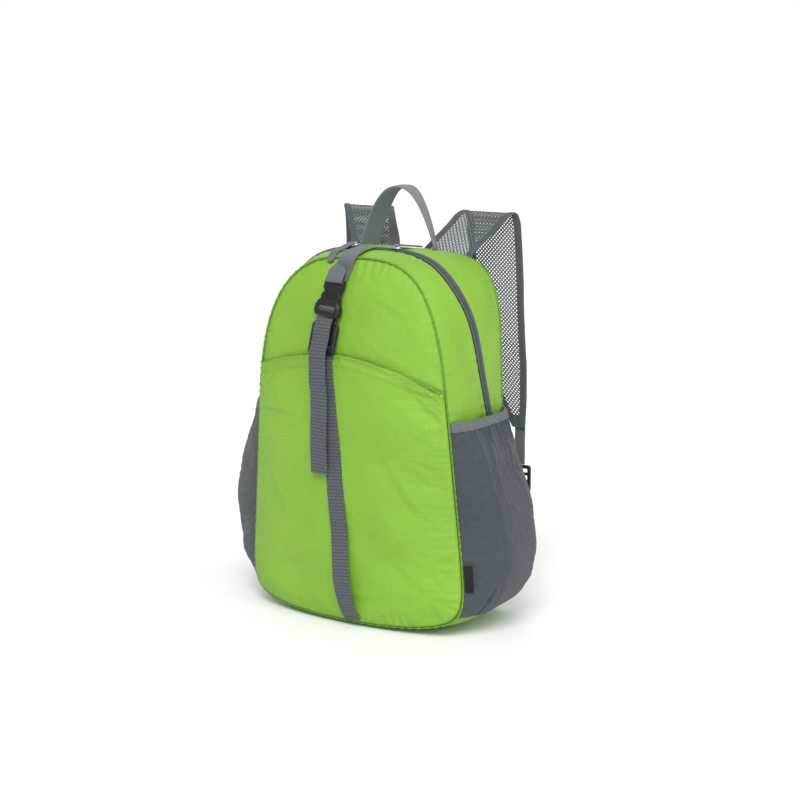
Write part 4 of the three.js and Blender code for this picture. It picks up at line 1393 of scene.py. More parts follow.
@dataclass
class FrontFaces:
    """The front panel and the slip pocket sewn over it, with the wrinkles that the photograph shows."""

    creases: tuple[tuple[float, ...], ...] = (
        (-95.0, 231.0, -4.0, 44.0, 3.4, 1.7),
        (-60.0, 219.0, 30.0, 26.0, 3.6, 1.5),
        (-88.0, 150.0, -62.0, 34.0, 5.0, 1.3),
        (-62.0, 70.0, 24.0, 40.0, 5.0, 1.2),
        (-98.0, 112.0, 50.0, 34.0, 4.2, 1.2),
        (-30.0, 120.0, 62.0, 46.0, 6.0, 1.0),
        (72.0, 205.0, 30.0, 40.0, 4.5, 1.2),
        (88.0, 150.0, -48.0, 42.0, 5.0, 1.3),
        (60.0, 96.0, 38.0, 44.0, 5.5, 1.3),
        (96.0, 60.0, -34.0, 38.0, 4.6, 1.2),
        (30.0, 40.0, 8.0, 50.0, 5.0, 1.1),
        (104.0, 250.0, -38.0, 26.0, 3.4, 1.4),
        (-108.0, 262.0, 40.0, 22.0, 3.4, 1.1),
        (-66.0, 345.0, 28.0, 34.0, 4.5, 1.0),
        (52.0, 352.0, -24.0, 34.0, 4.6, 1.1),
    )

    def crease_relief(self, x: Points, z: Points) -> Points:
        """Height outwards of the soft creases, each a ridge with a dent below it."""
        total = np.zeros_like(x)
        for place_x, place_z, turn, length, width, height in self.creases:
            angle = math.radians(turn)
            along = ((x - place_x) * math.cos(angle) + (z - place_z) * math.sin(angle)) / length
            aside = ((z - place_z) * math.cos(angle) - (x - place_x) * math.sin(angle)) / width
            aside = aside - 0.9 * along * along
            ridge = np.exp(-aside * aside) - 0.7 * np.exp(-((aside + 1.7) ** 2))
            total += 0.7 * height * ridge * np.exp(-along * along)
        return total

    def relief(self, x: Points, z: Points, distance: Points, along: Points, seed: int) -> Points:
        """Height outwards of all that wrinkles the front."""
        broad = Crumple(seed, 78.0, 0.55).at(x, z)
        fine = Crumple(seed + 3, 24.0, 0.16, creased=True).at(x, z)
        free = smoothstep(distance, 0.0, 14.0)
        return (broad + fine + self.crease_relief(x, z)) * free + seam_pucker(distance, along, seed + 7)

    def panel(self) -> None:
        """Makes the front panel."""
        x, z = SHELL.front.at_share(np.linspace(0, 1, 700)[:-1])
        plan = PlanPanel(np.stack([x, z], 1), 3.0)
        points = plan.lay(SHELL.front_y)
        covered = smoothstep(plan.places[:, 1], SIZES.slip_mouth - 26, SIZES.slip_mouth - 44)
        relief = self.relief(*plan.places.T, plan.distance, plan.along, 11) * (1 - covered)
        points[:, 1] -= relief - covered * 1.2
        piece = MAKER.mesh(
            "front_panel_cloth", points, plan.faces, GREEN, "shell_cloth", plan.places, SIZES.cloth * 0.55,
            node="front_panel",
        )
        Settling(cap=1.2).run(piece, np.maximum(sewn_hold(plan.distance), covered))
        declare_cut(piece)

    @staticmethod
    def pocket_plan() -> PlanPanel:
        """The slip pocket's cut: the seam line up to both ends of the mouth, and the mouth line."""
        right, left = (
            float(SHELL.front.share_at(SHELL.mouth_height(np.array(300.0 * side.value)))) for side in Side
        )
        x, z = SHELL.front.at_share(np.mod(np.linspace(-left, right, 420), 1.0))
        inset = 0.994
        x, z = x * inset, z + (1 - inset) * (SIZES.widest - z)
        mouth_x = np.linspace(x[-1], x[0], 110)[1:-1]
        edge = np.stack([np.concatenate([x, mouth_x]), np.concatenate([z, SHELL.mouth_height(mouth_x)])], 1)
        return PlanPanel(edge, 2.5)

    def pocket(self) -> None:
        """Makes the slip pocket with its doubled mouth hem."""
        plan = self.pocket_plan()
        px, pz = plan.places.T
        to_mouth = SHELL.mouth_height(px) - pz
        points = plan.lay(SHELL.slip_y)
        seam_way = np.minimum(plan.distance, 40.0)
        at_mouth = smoothstep(to_mouth, 6.0, 0.0)
        relief = self.relief(px, pz, np.where(to_mouth < plan.distance + 0.5, 30.0, seam_way), plan.along, 23)
        pull = 2.2 * np.exp(-(((px - 108) / 14) ** 2) - ((pz - 262) / 12) ** 2)
        hem = 0.7 * smoothstep(to_mouth, 14.5, 13.0) - 0.5 * np.exp(-(((to_mouth - 13.6) / 0.8) ** 2))
        slack = 1.3 * at_mouth * np.sin(math.pi * smoothstep(np.abs(px), 130.0, 0.0) / 2)
        points[:, 1] -= relief + hem + slack - pull * Crumple(5, 8.0, 0.6, 60.0, 40.0).at(px, pz)
        piece = MAKER.mesh(
            "slip_pocket_cloth", points, plan.faces, GREEN, "shell_cloth", plan.places, SIZES.cloth * 0.55,
            node="front_pocket",
        )
        piece.data.materials.append(GREEN_HEM.material())
        for polygon in piece.data.polygons:
            middle = plan.places[list(polygon.vertices)].mean(0)
            if SHELL.mouth_height(middle[0]) - middle[1] < 13.6:
                polygon.material_index = 1
        hold = np.where(to_mouth < plan.distance + 0.5, 0.3 * at_mouth, sewn_hold(plan.distance))
        Settling().run(piece, hold)
        declare_cut(piece)

    def mouth_fold(self) -> None:
        """Makes the folded edge of the mouth in ripstop darkened with painted shade, fullest where it falls
        to the right, where its painted shade line is thickest.
        """
        x = np.linspace(-119, 117, 260)
        z = SHELL.mouth_height(x)
        radius = 0.55 + 0.55 * smoothstep(x, 10.0, 100.0)
        angle = around(7)
        centre = np.stack([x, SHELL.slip_y(x, z) + 0.3 - 1.1 * smoothstep(x, 20.0, 90.0), z + 0.2], 1)
        circle = np.stack([np.zeros_like(angle), np.cos(angle), np.sin(angle)], 1)
        ring = centre[:, None] + radius[:, None, None] * circle
        faces = grid_faces(len(x), len(angle), True)
        MAKER.mesh("mouth_fold", ring.reshape(-1, 3), faces, SHADED_SEAM_GREEN, "shell_cloth")

    def mouth_stitches(self) -> None:
        """Sews the rows that hold the mouth's hem down."""
        work = StitchWork("slip_mouth_stitches", GREEN_THREAD, "shell_cloth", width=0.5)
        x = np.linspace(-118, 116, 240)
        for drop, lift in ((2.0, 2.2), (13.2, 0.9)):
            z = SHELL.mouth_height(x) - drop
            line = np.stack([x, SHELL.slip_y(x, z) - lift, z], 1)
            work.row(line, np.tile([0.0, -1.0, 0.0], (len(x), 1)))
        work.sew()

    def build(self) -> None:
        """Makes the faces of the front."""
        self.panel()
        self.pocket()
        self.mouth_fold()
        self.mouth_stitches()
        seam_ring("front_seam", 0.0, 900, 8, 1.15, (0.25, 0.2), 0.18)


@dataclass
class BackFace:
    """The plain back panel, with a seam like the front's."""

    pitch: float = 3.4

    def build(self) -> None:
        """Makes the panel and its folded seam."""
        x, z = SHELL.back.at_share(np.linspace(0, 1, 600)[:-1])
        plan = PlanPanel(np.stack([x, z], 1), self.pitch)
        points = plan.lay(SHELL.back_y)
        px, pz = plan.places.T
        free = smoothstep(plan.distance, 0.0, 14.0)
        points[:, 1] += Crumple(61, 84.0, 0.9).at(px, pz) * free
        points[:, 1] += Crumple(62, 26.0, 0.25, creased=True).at(px, pz) * free
        points[:, 1] += seam_pucker(plan.distance, plan.along, 67)
        faces = [face[::-1] for face in plan.faces]
        piece = MAKER.mesh(
            "back_panel_cloth", points, faces, GREEN, "shell_cloth", plan.places, SIZES.cloth * 0.55,
            node="back_panel",
        )
        Settling().run(piece, sewn_hold(plan.distance))
        declare_cut(piece)
        seam_ring("back_seam", 1.0, 700, 7, 1.1, (0.2, 0.0), 0.0)


@dataclass
class SkinStrip:
    """One green strip of the bag's skin between two shares of the seam line."""

    name: str
    node: str
    start: float
    end: float
    rows: int
    columns: int
    seed: int
    front_off: float = 0.0
    back_off: float = 0.0
    relief: float = 0.7
    slot: str = "shell_cloth"

    @staticmethod
    def edge(share: Points, off: float, seam: float) -> Points:
        """Where one edge runs: a way off the zip's middle, or on a seam where that is 0."""
        return SHELL.zip_depth(share) + off / SHELL.gusset_depth(share) if off else np.full_like(share, seam)

    def build(self) -> None:
        """Makes the strip."""
        share = np.linspace(self.start, self.end, self.rows)
        wrapped = np.mod(share, 1.0)
        u = np.linspace(0, 1, self.columns)
        front, back = self.edge(wrapped, self.front_off, 0.0), self.edge(wrapped, self.back_off, 1.0)
        depth = front[:, None] + (back - front)[:, None] * u[None]
        share_grid = np.broadcast_to(wrapped[:, None], depth.shape)
        along = np.broadcast_to((share * SHELL.front.length)[:, None], depth.shape)
        across = depth * SHELL.gusset_depth(wrapped)[:, None]
        edge = np.minimum(u, 1 - u)[None] * (back - front)[:, None] * SHELL.gusset_depth(wrapped)[:, None]
        free = smoothstep(edge, 0.0, 10.0)
        lift = (Crumple(self.seed, 46.0, self.relief, 0, 60.0).at(across, along) - 0.5 * self.relief) * free
        lift = lift + Crumple(self.seed + 1, 20.0, 0.25 * self.relief, creased=True).at(across, along) * free
        lift = lift + seam_pucker(edge, along, self.seed + 2, 0.5)
        grid = SHELL.skin(depth, share_grid, lift).reshape(-1, 3)
        cut = np.stack([across.ravel(), along.ravel()], 1)
        faces = grid_faces(*depth.shape)
        wall = SIZES.cloth * 0.55
        piece = MAKER.mesh(self.name, grid, faces, GREEN, self.slot, cut, wall, node=self.node)
        declare_cut(piece)


@dataclass
class Gusset:
    """The skin between the front and the back: base, sides and the two strips beside the zip."""

    zip_half: float = 4.7

    def build(self) -> None:
        """Makes the five strips."""
        foot = float(SHELL.front.share_at(SIZES.pocket_foot))
        end = float(SHELL.front.share_at(SIZES.zip_end))
        SkinStrip("base_cloth", "base_panel", -foot, foot, 110, 52, 71).build()
        for side, low, high in ((Side.RIGHT, foot, end), (Side.LEFT, 1 - end, 1 - foot)):
            name = f"side_cloth_{side.word}"
            seed = 73 + side.value
            SkinStrip(name, f"side_panel_{side.word}", low, high, 70, 48, seed, slot="side_cloth").build()
        half = self.zip_half
        SkinStrip("gusset_front_cloth", "gusset_front", end, 1 - end, 230, 26, 77, 0, -half, 0.6).build()
        SkinStrip("gusset_rear_cloth", "gusset_rear", end, 1 - end, 230, 26, 79, half, 0, 0.6).build()


@dataclass
class Zipper:
    """The zip over the top of the bag: two tapes, a coil, and two sliders with soft pulls."""

    coil_pitch: float = 2.2
    slider_spread: float = 26.0
    pull_length: float = 38.0
    pull_width: float = 9.0

    @staticmethod
    def at(share: Points, off: float, lift: float = 0.0) -> Points:
        """Places beside the zip's middle line."""
        return SHELL.skin(SHELL.zip_depth(share) + off / SHELL.gusset_depth(share), share, lift)

    def tapes(self, start: float, end: float) -> None:
        """Makes both tapes as one piece with a raised fold along each outer edge."""
        share = np.linspace(start, end, 330)
        profile = [(-5.4, 0.1), (-4.9, 0.75), (-4.2, 0.8), (-3.7, 0.25), (-2.2, 0.2), (-1.5, 0.45)]
        profile += [(0.0, 0.55)]
        profile += [(-off, lift) for off, lift in profile[-2::-1]]
        off = np.array(profile)[:, 0]
        grid = np.stack([self.at(share, *row) for row in profile], 1).reshape(-1, 3)
        cut = np.stack([np.tile(off, len(share)), np.repeat(share * SHELL.front.length, len(off))], 1)
        faces = grid_faces(len(share), len(off))
        piece = MAKER.mesh("zip_tapes", grid, faces, ZIP_TAPE, "zip_tape", cut, 0.8, node="zipper")
        declare_cut(piece)

    def coil(self, start: float, end: float) -> None:
        """Makes the coil's teeth, one bent bead after another."""
        count = int((end - start) * SHELL.front.length / self.coil_pitch)
        share = np.linspace(start, end, count + 2)[1:-1]
        centre = self.at(share, 0.0, 1.05)
        side = unit(self.at(share, 1.0) - self.at(share, -1.0))
        up = SHELL.outward(SHELL.zip_depth(share), share)
        ahead = unit(np.cross(up, side))
        points, faces = [], []
        for k in range(count):
            for sign in (-1, 1):
                middle = centre[k] + side[k] * sign * 0.75 + ahead[k] * sign * self.coil_pitch * 0.25
                base = len(points)
                for s in (-1, 1):
                    flat = 1 if s * sign > 0 else 0.75
                    for a, b in ((-1, 0), (0, 0.62), (1, 0), (0, -0.55)):
                        points.append(middle + side[k] * s * 1.15 + ahead[k] * a * 0.48 + up[k] * b * flat)
                for a, b in ((0, 1), (1, 2), (2, 3), (3, 0)):
                    faces.append((base + a, base + b, base + 4 + b, base + 4 + a))
                faces += [(base + 3, base + 2, base + 1, base), (base + 4, base + 5, base + 6, base + 7)]
        MAKER.mesh("zip_coil", np.array(points), faces, COIL, "zip_tape", sharp=35.0)

    def slider(self, side: Side, share: float) -> None:
        """Dresses one slider: a rounded chrome body with a raised bridge over its own box.

        Args:
            side: Which slider.
            share: Where it stands on the seam line.
        """
        shares = np.array([share])
        centre = self.at(shares, 0.0, 1.3)[0]
        up = SHELL.outward(SHELL.zip_depth(shares), shares)[0]
        back = np.array([0.0, 1.0, 0.0])
        along = unit(np.cross(back, up))

        def place(points: Points) -> Points:
            """Lays the slider's own coordinates on the zip."""
            return centre + points[:, :1] * along + points[:, 1:2] * back + points[:, 2:3] * up

        half = [(-5.4, -3.4, 1.6), (3.0, -4.1, 2.2), (5.6, -2.2, 1.5)]
        body = arc_outline(half + [(x, -y, radius) for x, y, radius in reversed(half)], 6)
        node = f"slider_{side.word}"
        plate(f"slider_body_{side.word}", body, (), 2.6, 0.7, place, CHROME, "zip_metal", node)
        arch = np.linspace(0, math.pi, 14)
        centres = centre + np.outer(-4.0 * np.cos(arch), along) + np.outer(2.2 + 2.0 * np.sin(arch), up)
        across = np.tile(back, (len(arch), 1))
        out = unit(np.cross(across, unit(np.gradient(centres, axis=0))))
        section = np.stack([1.5 * np.cos(around(8)), 0.55 * np.sin(around(8))], 1)
        points, faces, _ = sweep(centres, across, -out, section)
        MAKER.mesh(f"slider_bridge_{side.word}", points, faces, CHROME, "zip_metal")

    def pull_line(self, way: int, share: float) -> Points:
        """The line of one pull, over the skin and, for the left one, on over the front seam.

        Args:
            way: 1 where it lies rearwards, -1 forwards.
            share: Where its slider stands on the seam line.

        Returns:
            Points of the line.
        """
        steps = 9
        line = []
        for k in range(steps + 1):
            s = k / steps
            place = np.array([share - way * 5.0 * s / SHELL.front.length])
            off = 1.5 + self.pull_length * s
            room = float((SHELL.zip_depth(place) * SHELL.gusset_depth(place))[0])
            lift = 4.2 * (1 - s) ** 2 + 2.2 + 0.7 * math.sin(math.pi * s)
            lift += 3.2 * math.exp(-(((off - room) / 8) ** 2)) if way < 0 else 0.0
            if way > 0 or off < room - 2:
                line.append(self.at(place, way * off, lift)[0])
            elif off > room + 2:
                x, z = (float(v[0]) for v in SHELL.front.at_share(place))
                z -= off - room
                line.append(np.array([x, float(SHELL.front_y(np.array(x), np.array(z))) - lift, z]))
        return np.array(line)

    def pull(self, side: Side, share: float) -> None:
        """Makes one soft pull: a doubled tape with a rounded end, threaded through the slider's bridge.

        Args:
            side: Which slider it hangs on.
            share: Where the slider stands on the seam line.
        """
        line = self.pull_line(side.value, share)
        name = f"pull_cloth_{side.word}"
        tape = Tape(name, line, -float(side.value), self.pull_width, 1.7, SMOOTH_WEB, 0.9, True, True, 0.05)
        if tape.facing[len(tape.facing) // 2][2] < 0:
            tape.side, tape.facing = -tape.side, -tape.facing
        tape.build(f"pull_{side.word}")
        work = StitchWork(f"pull_stitches_{side.word}", GREY_THREAD, "webbing", 1.6, 0.8, 0.45)
        tape.edge_rows(work, 1.5, 4.0, -5.0)
        work.sew()

    def build(self) -> None:
        """Makes the zip and both its sliders."""
        end = float(SHELL.front.share_at(SIZES.zip_end))
        self.tapes(end, 1 - end)
        self.coil(end, 1 - end)
        for side in Side:
            share = 0.5 - side.value * self.slider_spread / SHELL.front.length
            self.slider(side, share)
            self.pull(side, share)


@dataclass
class SidePocket:
    """One stretch pocket with gathers under its doubled hem."""

    side: Side
    bulge: float
    hem_height: float = 10.0
    hem_thickness: float = 3.0
    gather_depth: float = 3.1
    gathers: int = 15
    rows: int = 108
    columns: int = 200

    def __post_init__(self) -> None:
        """Works out the pocket's height and where its hem starts."""
        self.height = SIZES.pocket_top - SIZES.pocket_foot
        self.low = 1 - self.hem_height / self.height

    def surface(self, u: Points, rise: Points, extra: Points = 0.0) -> Points:
        """The outside of the pocket: u from the front seam to the back seam, rise to the hem's top."""
        fullness = Column((0, 0.14, 0.36, 0.62, 0.84, 1), (0.04, 0.66, 1, 0.86, 0.48, 0.21))
        share = SHELL.front.share_at(mix(SIZES.pocket_foot + SIZES.seam_gap, SIZES.pocket_top, rise))
        box = 1 - np.abs(2 * u - 1) ** 4.4
        points = SHELL.skin(u, share, SIZES.cloth + 1.0 + self.bulge * box * fullness(rise) + extra)
        points[..., 0] *= self.side.value
        return points

    def gather(self, u: Points, rise: Points) -> Points:
        """Folds that the elastic hem draws into the cloth, fading down the pocket."""
        total = np.zeros(np.broadcast(u, rise).shape)
        random = np.random.default_rng(90 + self.side.value)
        for k in range(self.gathers):
            place = (k + 0.5 + random.uniform(-0.25, 0.25)) / self.gathers
            length = random.uniform(0.12, 0.3)
            drift = random.uniform(-0.03, 0.03)
            width = 0.27 / self.gathers * (1 + 2.4 * (1 - rise))
            fade = smoothstep(rise, 0.95 - length, 0.93)
            away = (u - place - drift * (1 - rise)) / width
            total += self.gather_depth * random.uniform(0.6, 1.25) * np.exp(-away * away) * fade
        even = 1.2 * np.cos(2 * math.pi * 19 * (u + 0.01 * np.sin(2 * math.pi * 2.7 * u)))
        total += even * smoothstep(rise, 0.84, 0.95)
        return (total - 0.45 * self.gather_depth) * np.sin(math.pi * np.clip(u, 0, 1)) ** 0.35

    def folds(self, u: Points, rise: Points) -> Points:
        """The long soft folds of slack stretch cloth, deepest near the foot's corners."""
        low_corner = 4.4 * np.exp(-(((u - 0.17 - 0.05 * rise) / 0.022) ** 2) - ((rise - 0.11) / 0.1) ** 2)
        reach = smoothstep(rise, 0.3, 0.72) * smoothstep(rise, 1.0, 0.9)
        long_folds = sum(
            depth * np.exp(-(((u - place - drift * (1 - rise)) / 0.02) ** 2)) * reach
            for place, drift, depth in ((0.2, 0.03, 2.3), (0.33, -0.02, 2.0), (0.62, 0.05, 1.8))
        )
        second = 2.4 * np.exp(-(((u - 0.26 + 0.2 * rise) / 0.03) ** 2) - ((rise - 0.14) / 0.11) ** 2)
        drape = 1.6 * np.exp(-(((rise - 0.13 - 0.16 * (u - 0.5) ** 2) / 0.035) ** 2))
        slack = Crumple(95 + self.side.value, 52.0, 1.0, 90.0, 70.0).at(u * 140, rise * self.height)
        small = Crumple(97 + self.side.value, 17.0, 0.25, 90.0, 80.0, True).at(u * 140, rise * self.height)
        free = np.sin(math.pi * np.clip(u, 0, 1)) ** 0.5 * smoothstep(rise, 0.0, 0.08)
        free = free * smoothstep(rise, 1.0, 0.85)
        return (slack + small) * free - low_corner - second + drape * free * 0.6 + long_folds

    def pouch(self) -> None:
        """Makes the pocket's cloth."""
        rise, u = np.meshgrid(
            np.linspace(0, self.low + 0.004, self.rows), np.linspace(0, 1, self.columns), indexing="ij"
        )
        edge, up = np.minimum(u, 1 - u) * 135.0, rise * self.height
        extra = self.gather(u, rise) + self.folds(u, rise)
        extra = extra + seam_pucker(np.minimum(edge, up), u * 135 + up, 99, 0.6, 7.0)
        grid = self.surface(u, rise, np.maximum(extra, -SIZES.cloth - self.bulge * 0.6)).reshape(-1, 3)
        faces = grid_faces(self.rows, self.columns, flip=self.side is Side.LEFT)
        cut = np.stack([u.ravel() * 150.0, up.ravel()], 1)
        name, node = f"side_pouch_{self.side.word}", f"side_pocket_{self.side.word}"
        piece = MAKER.mesh(name, grid, faces, STRETCH, "stretch_cloth", cut, 0.8, node=node)
        ends = np.maximum(sewn_hold(up), sewn_hold((self.low - rise) * self.height))
        Settling(slack=0.02, pressure=1.0, cap=2.6).run(piece, np.maximum(sewn_hold(edge), ends).ravel())
        declare_cut(piece, 1.2)

    def hem_gather(self, u: Points, up: float) -> Points:
        """How far the gathers push the hem out, from up -1 at its foot to 1 at its top."""
        return self.gather(u, np.full_like(u, self.low)) * 0.55 * mix(1.0, 0.45, (up + 1) / 2)

    def hem(self) -> None:
        """Makes the doubled hem with its two rows of stitches."""
        u = np.linspace(0, 1, self.columns)
        half, power, row_up = self.hem_thickness / 2, 0.45, 0.62
        rows, ups = [], []
        for turn in np.linspace(-math.pi / 2, 1.5 * math.pi, 20, endpoint=False):
            c, s = math.cos(turn), math.sin(turn)
            out, up = half * math.copysign(abs(c) ** power, c), math.copysign(abs(s) ** power, s)
            dent = -0.35 * (abs(abs(up) - row_up) < 0.12) * (out > 0)
            rise = np.full_like(u, mix(self.low, 1.0, (up + 1) / 2))
            rows.append(self.surface(u, rise, self.hem_gather(u, up) + out - 0.2 + dent))
            ups.append(up * 5)
        grid = np.stack(rows, 1).reshape(-1, 3)
        faces = grid_faces(self.columns, len(ups), True, True, self.side is Side.RIGHT)
        cut = np.stack([np.tile(ups, self.columns), np.repeat(u * 122, len(ups))], 1)
        node = f"pocket_hem_{self.side.word}"
        MAKER.mesh(f"pouch_hem_{self.side.word}", grid, faces, SMOOTH_WEB, "webbing", cut, node=node)
        work = StitchWork(f"hem_stitches_{self.side.word}", GREY_THREAD, "webbing", 1.9, 0.7, 0.5)
        fine = np.linspace(0.01, 0.99, 260)
        for up in (-row_up, row_up):
            rise = np.full_like(fine, mix(self.low, 1.0, (up + 1) / 2))
            gathered = self.hem_gather(fine, up)
            line = self.surface(fine, rise, gathered + half - 0.45)
            work.row(line, self.surface(fine, rise, gathered + half + 1) - line)
        work.sew()

    def build(self) -> None:
        """Makes the pocket and its hem."""
        self.pouch()
        self.hem()


@dataclass
class LabelTab:
    """The small bare tab sewn into the right pocket's front seam, a folded tape."""

    foot: float = 54.0
    width: float = 9.0
    height: float = 28.0
    rows: int = 24
    columns: int = 10

    def build(self, pocket: SidePocket) -> None:
        """Makes the tab on the pocket whose seam holds it."""
        v, u = np.meshgrid(np.linspace(0, 1, self.rows), np.linspace(0, 1, self.columns), indexing="ij")
        rise = (self.foot + v * self.height - SIZES.pocket_foot) / pocket.height
        seam = pocket.surface(np.zeros_like(u), rise)
        along = unit(pocket.surface(np.full_like(u, 0.05), rise) - seam)
        out = np.stack([-along[..., 1], along[..., 0], np.zeros_like(u)], -1)
        out = unit(out * np.sign(out[..., :1]))
        lift = 1.6 + 0.8 * u + 0.35 * np.sin(math.pi * v)
        grid = seam + along * (u * self.width)[..., None] + out * lift[..., None]
        cut = np.stack([u.ravel() * self.width, v.ravel() * self.height], 1)
        faces = grid_faces(self.rows, self.columns)
        grid = grid.reshape(-1, 3)
        MAKER.mesh("label_cloth", grid, faces, LABEL, "label_cloth", cut, 0.9, node="label_tab")


@dataclass
class FrontStrap:
    """The strap down the front: two webs, the side-release buckle and the second moulded piece below it."""

    web_width: float = 21.0
    web_thickness: float = 1.4
    web_gap: float = 0.5
    buckle_top: float = 375.0
    buckle_length: float = 41.0
    buckle_width: float = 32.0
    buckle_thickness: float = 8.0
    tongue_bar_width: float = 25.0
    tongue_bar_length: float = 11.0
    tongue_share: float = 0.56
    bar_cut: float = 5.0
    tongue_cut: float = 2.6
    socket_slot: float = 7.0
    adjuster_length: float = 37.0
    adjuster_width: float = 33.0
    adjuster_thickness: float = 4.0
    buckle_off: float = 3.0
    adjuster_off: float = 5.6
    layer_length: float = 14.0
    tail_end: float = 169.0
    foot: float = 9.0

    def __post_init__(self) -> None:
        """Reads the tables that place the strap, and sets the frames of its hard pieces."""
        rows = (0.03, 0.42, 0.6, 0.84, 1)
        self.lower_x = Column(rows, (0.5, -0.22, -0.5, -0.88, -0.4))
        self.tail_x = Column(rows, (-1.0, -1.0, -0.86, -0.88, -0.4))
        rows = (0.02, 0.1, 0.25, 0.42, 0.6, 0.7, 0.84)
        self.lower_off = Column(rows, (0.04, 0.5, 0.2, 0.08, 0.08, 0.1, 0.03))
        self.tail_off = Column(rows, (0.3, 0.3, 0.3, 0.36, 0.42, 0.52, 0.58))
        self.top = self.buckle_length / 2
        self.split = self.top - self.buckle_length * self.tongue_share
        self.half = self.buckle_width / 2
        self.neck = self.buckle_width * 0.3
        self.inner = (self.web_width + 1) / 2
        self.buckle_middle = self.buckle_top - self.top
        self.adjuster_middle = self.buckle_middle - (self.buckle_length + self.adjuster_length) / 2 - 0.6
        self.in_buckle = self.frame_at(self.buckle_middle, self.buckle_off, self.top)
        self.in_adjuster = self.frame_at(self.adjuster_middle, self.adjuster_off, self.adjuster_length / 2)

    def on_front(self, z: Points, column: Column, off: Points) -> Points:
        """Places on the strap's line, standing off the cloth."""
        z = np.asarray(z, float)
        x = self.web_width * column(z / SIZES.height)
        return np.stack([x, SHELL.cover_y(x, z) - off, z], axis=-1)

    def frame_at(self, z: float, off: float, reach: float) -> Callable[[Points], Points]:
        """A frame laid on the strap's line: x across, y up the line, z away from the cloth.

        Args:
            z: Its height.
            off: How far it stands off the cloth.
            reach: Half the length that it lies along.

        Returns:
            A function that takes its own coordinates to the bag's.
        """
        ends = self.on_front(np.array([z - reach, z + reach]), self.tail_x, off)
        up = unit(ends[1] - ends[0])
        out = unit(np.cross([1.0, 0.0, 0.0], up))
        axes = np.stack([np.cross(up, out), up, out])
        middle = self.on_front(np.array(z), self.tail_x, off)

        def place(points: Points) -> Points:
            """Takes the frame's own coordinates to the bag's."""
            return middle + np.asarray(points, float) @ axes

        return place

    def moulding(
        self, name: str, outline: Points, holes: Sequence[Points], span: tuple[float, float], ease: float,
        node: str = "",
    ) -> None:
        """Makes a rounded plate of the buckle between two heights off its own plane.

        Args:
            name: The piece's name, which says whether the buckle or the adjuster carries it.
            outline: Its outline.
            holes: Outlines of what is cut through it.
            span: Its lower and upper height.
            ease: The radius of its edges.
            node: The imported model's node that it replaces.
        """
        place = self.in_buckle if name.startswith("buckle") else self.in_adjuster
        low, high = span
        plate(name, outline, holes, high - low, ease, place, PLASTIC, "buckle_plastic", node, low)

    def tongue(self) -> None:
        """Makes the buckle's tongue: its web bar, neck and two ribbed springs."""
        top, split, neck = self.top, self.split, self.neck
        thick, low = self.buckle_thickness * self.tongue_share, self.web_thickness
        bar = self.tongue_bar_width / 2
        high = low + thick
        outline = arc_outline(mirrored([
            (neck, split - 3.0, 0.6), (neck, top - 15.0, 1.6), (bar, top - 11.4, 1.6), (bar, top, 2.0),
        ]))
        slot = slot_outline(self.inner, top - self.tongue_cut - 2.9, top - self.tongue_cut)
        self.moulding("buckle_tongue_plate", outline, (slot,), (low, high), 0.9, "buckle_tongue")
        for k in range(4):
            up = top - 14.8 - 1.9 * k
            rib = slot_outline(neck - 1.2 - 0.3 * k, up - 0.55, up + 0.55, 0.5)
            self.moulding(f"buckle_rib_{k}", rib, (), (high - 0.4, high + 0.75), 0.4)
        for side in reversed(Side):
            sign = side.value
            prong = arc_outline([
                (sign * (neck - 1.9), split - 2.4, 0.6), (sign * (neck + 2.6), split - 2.4, 0.9),
                (sign * (neck + 2.9), split + 4.4, 1.4), (sign * (neck - 0.6), split + 8.6, 0.9),
                (sign * (neck - 1.9), split + 8.6, 0.5),
            ][::sign], 4)
            self.moulding(f"buckle_spring_{side.word}", prong, (), (low + 0.4, high - 0.4), 0.5)

    def socket(self) -> None:
        """Makes the buckle's socket: a hollow-looking body with a raised rim, and its web window."""
        top, split, half, inner = self.top, self.split, self.half, self.inner
        high, middle = self.buckle_thickness, self.bar_cut + self.socket_slot - self.top
        legs = mirrored([
            (inner, -top, 0.6), (half - 2.2, -top, 1.2), (half, 4.0 - top, 2.4), (half, split - 7.5, 3.0),
            (half - 3.2, split - 1.6, 1.8), (half - 7.2, split, 1.0),
        ])
        outline = arc_outline(legs + [(inner, middle, 1.0), (-inner, middle, 1.0)], 6)
        self.moulding("buckle_socket_body", outline, (), (0.0, high - 1.0), 1.1, "buckle_socket")
        rim = arc_outline(mirrored([
            (half - 3.4, 0.2 - top, 1.6), (half - 0.9, 3.6 - top, 1.8), (half - 0.9, split - 7.8, 2.4),
            (half - 4.2, split - 2.4, 1.4),
        ]))
        opened = slot_outline(inner - 0.6, self.bar_cut - top, middle - 0.4, 1.0)
        self.moulding("buckle_socket_rim", rim, (opened,), (high - 3.2, high), 1.0)
        for side in reversed(Side):
            sign = side.value
            corners = ((3.6, 7.0), (2.6, 7.0), (2.6, 2.9), (3.6, 2.9))
            ridge = arc_outline([(sign * (half - x), split - y, 0.5) for x, y in corners][::sign], 3)
            self.moulding(f"buckle_grip_{side.word}", ridge, (), (high - 1.6, high - 0.2), 0.35)

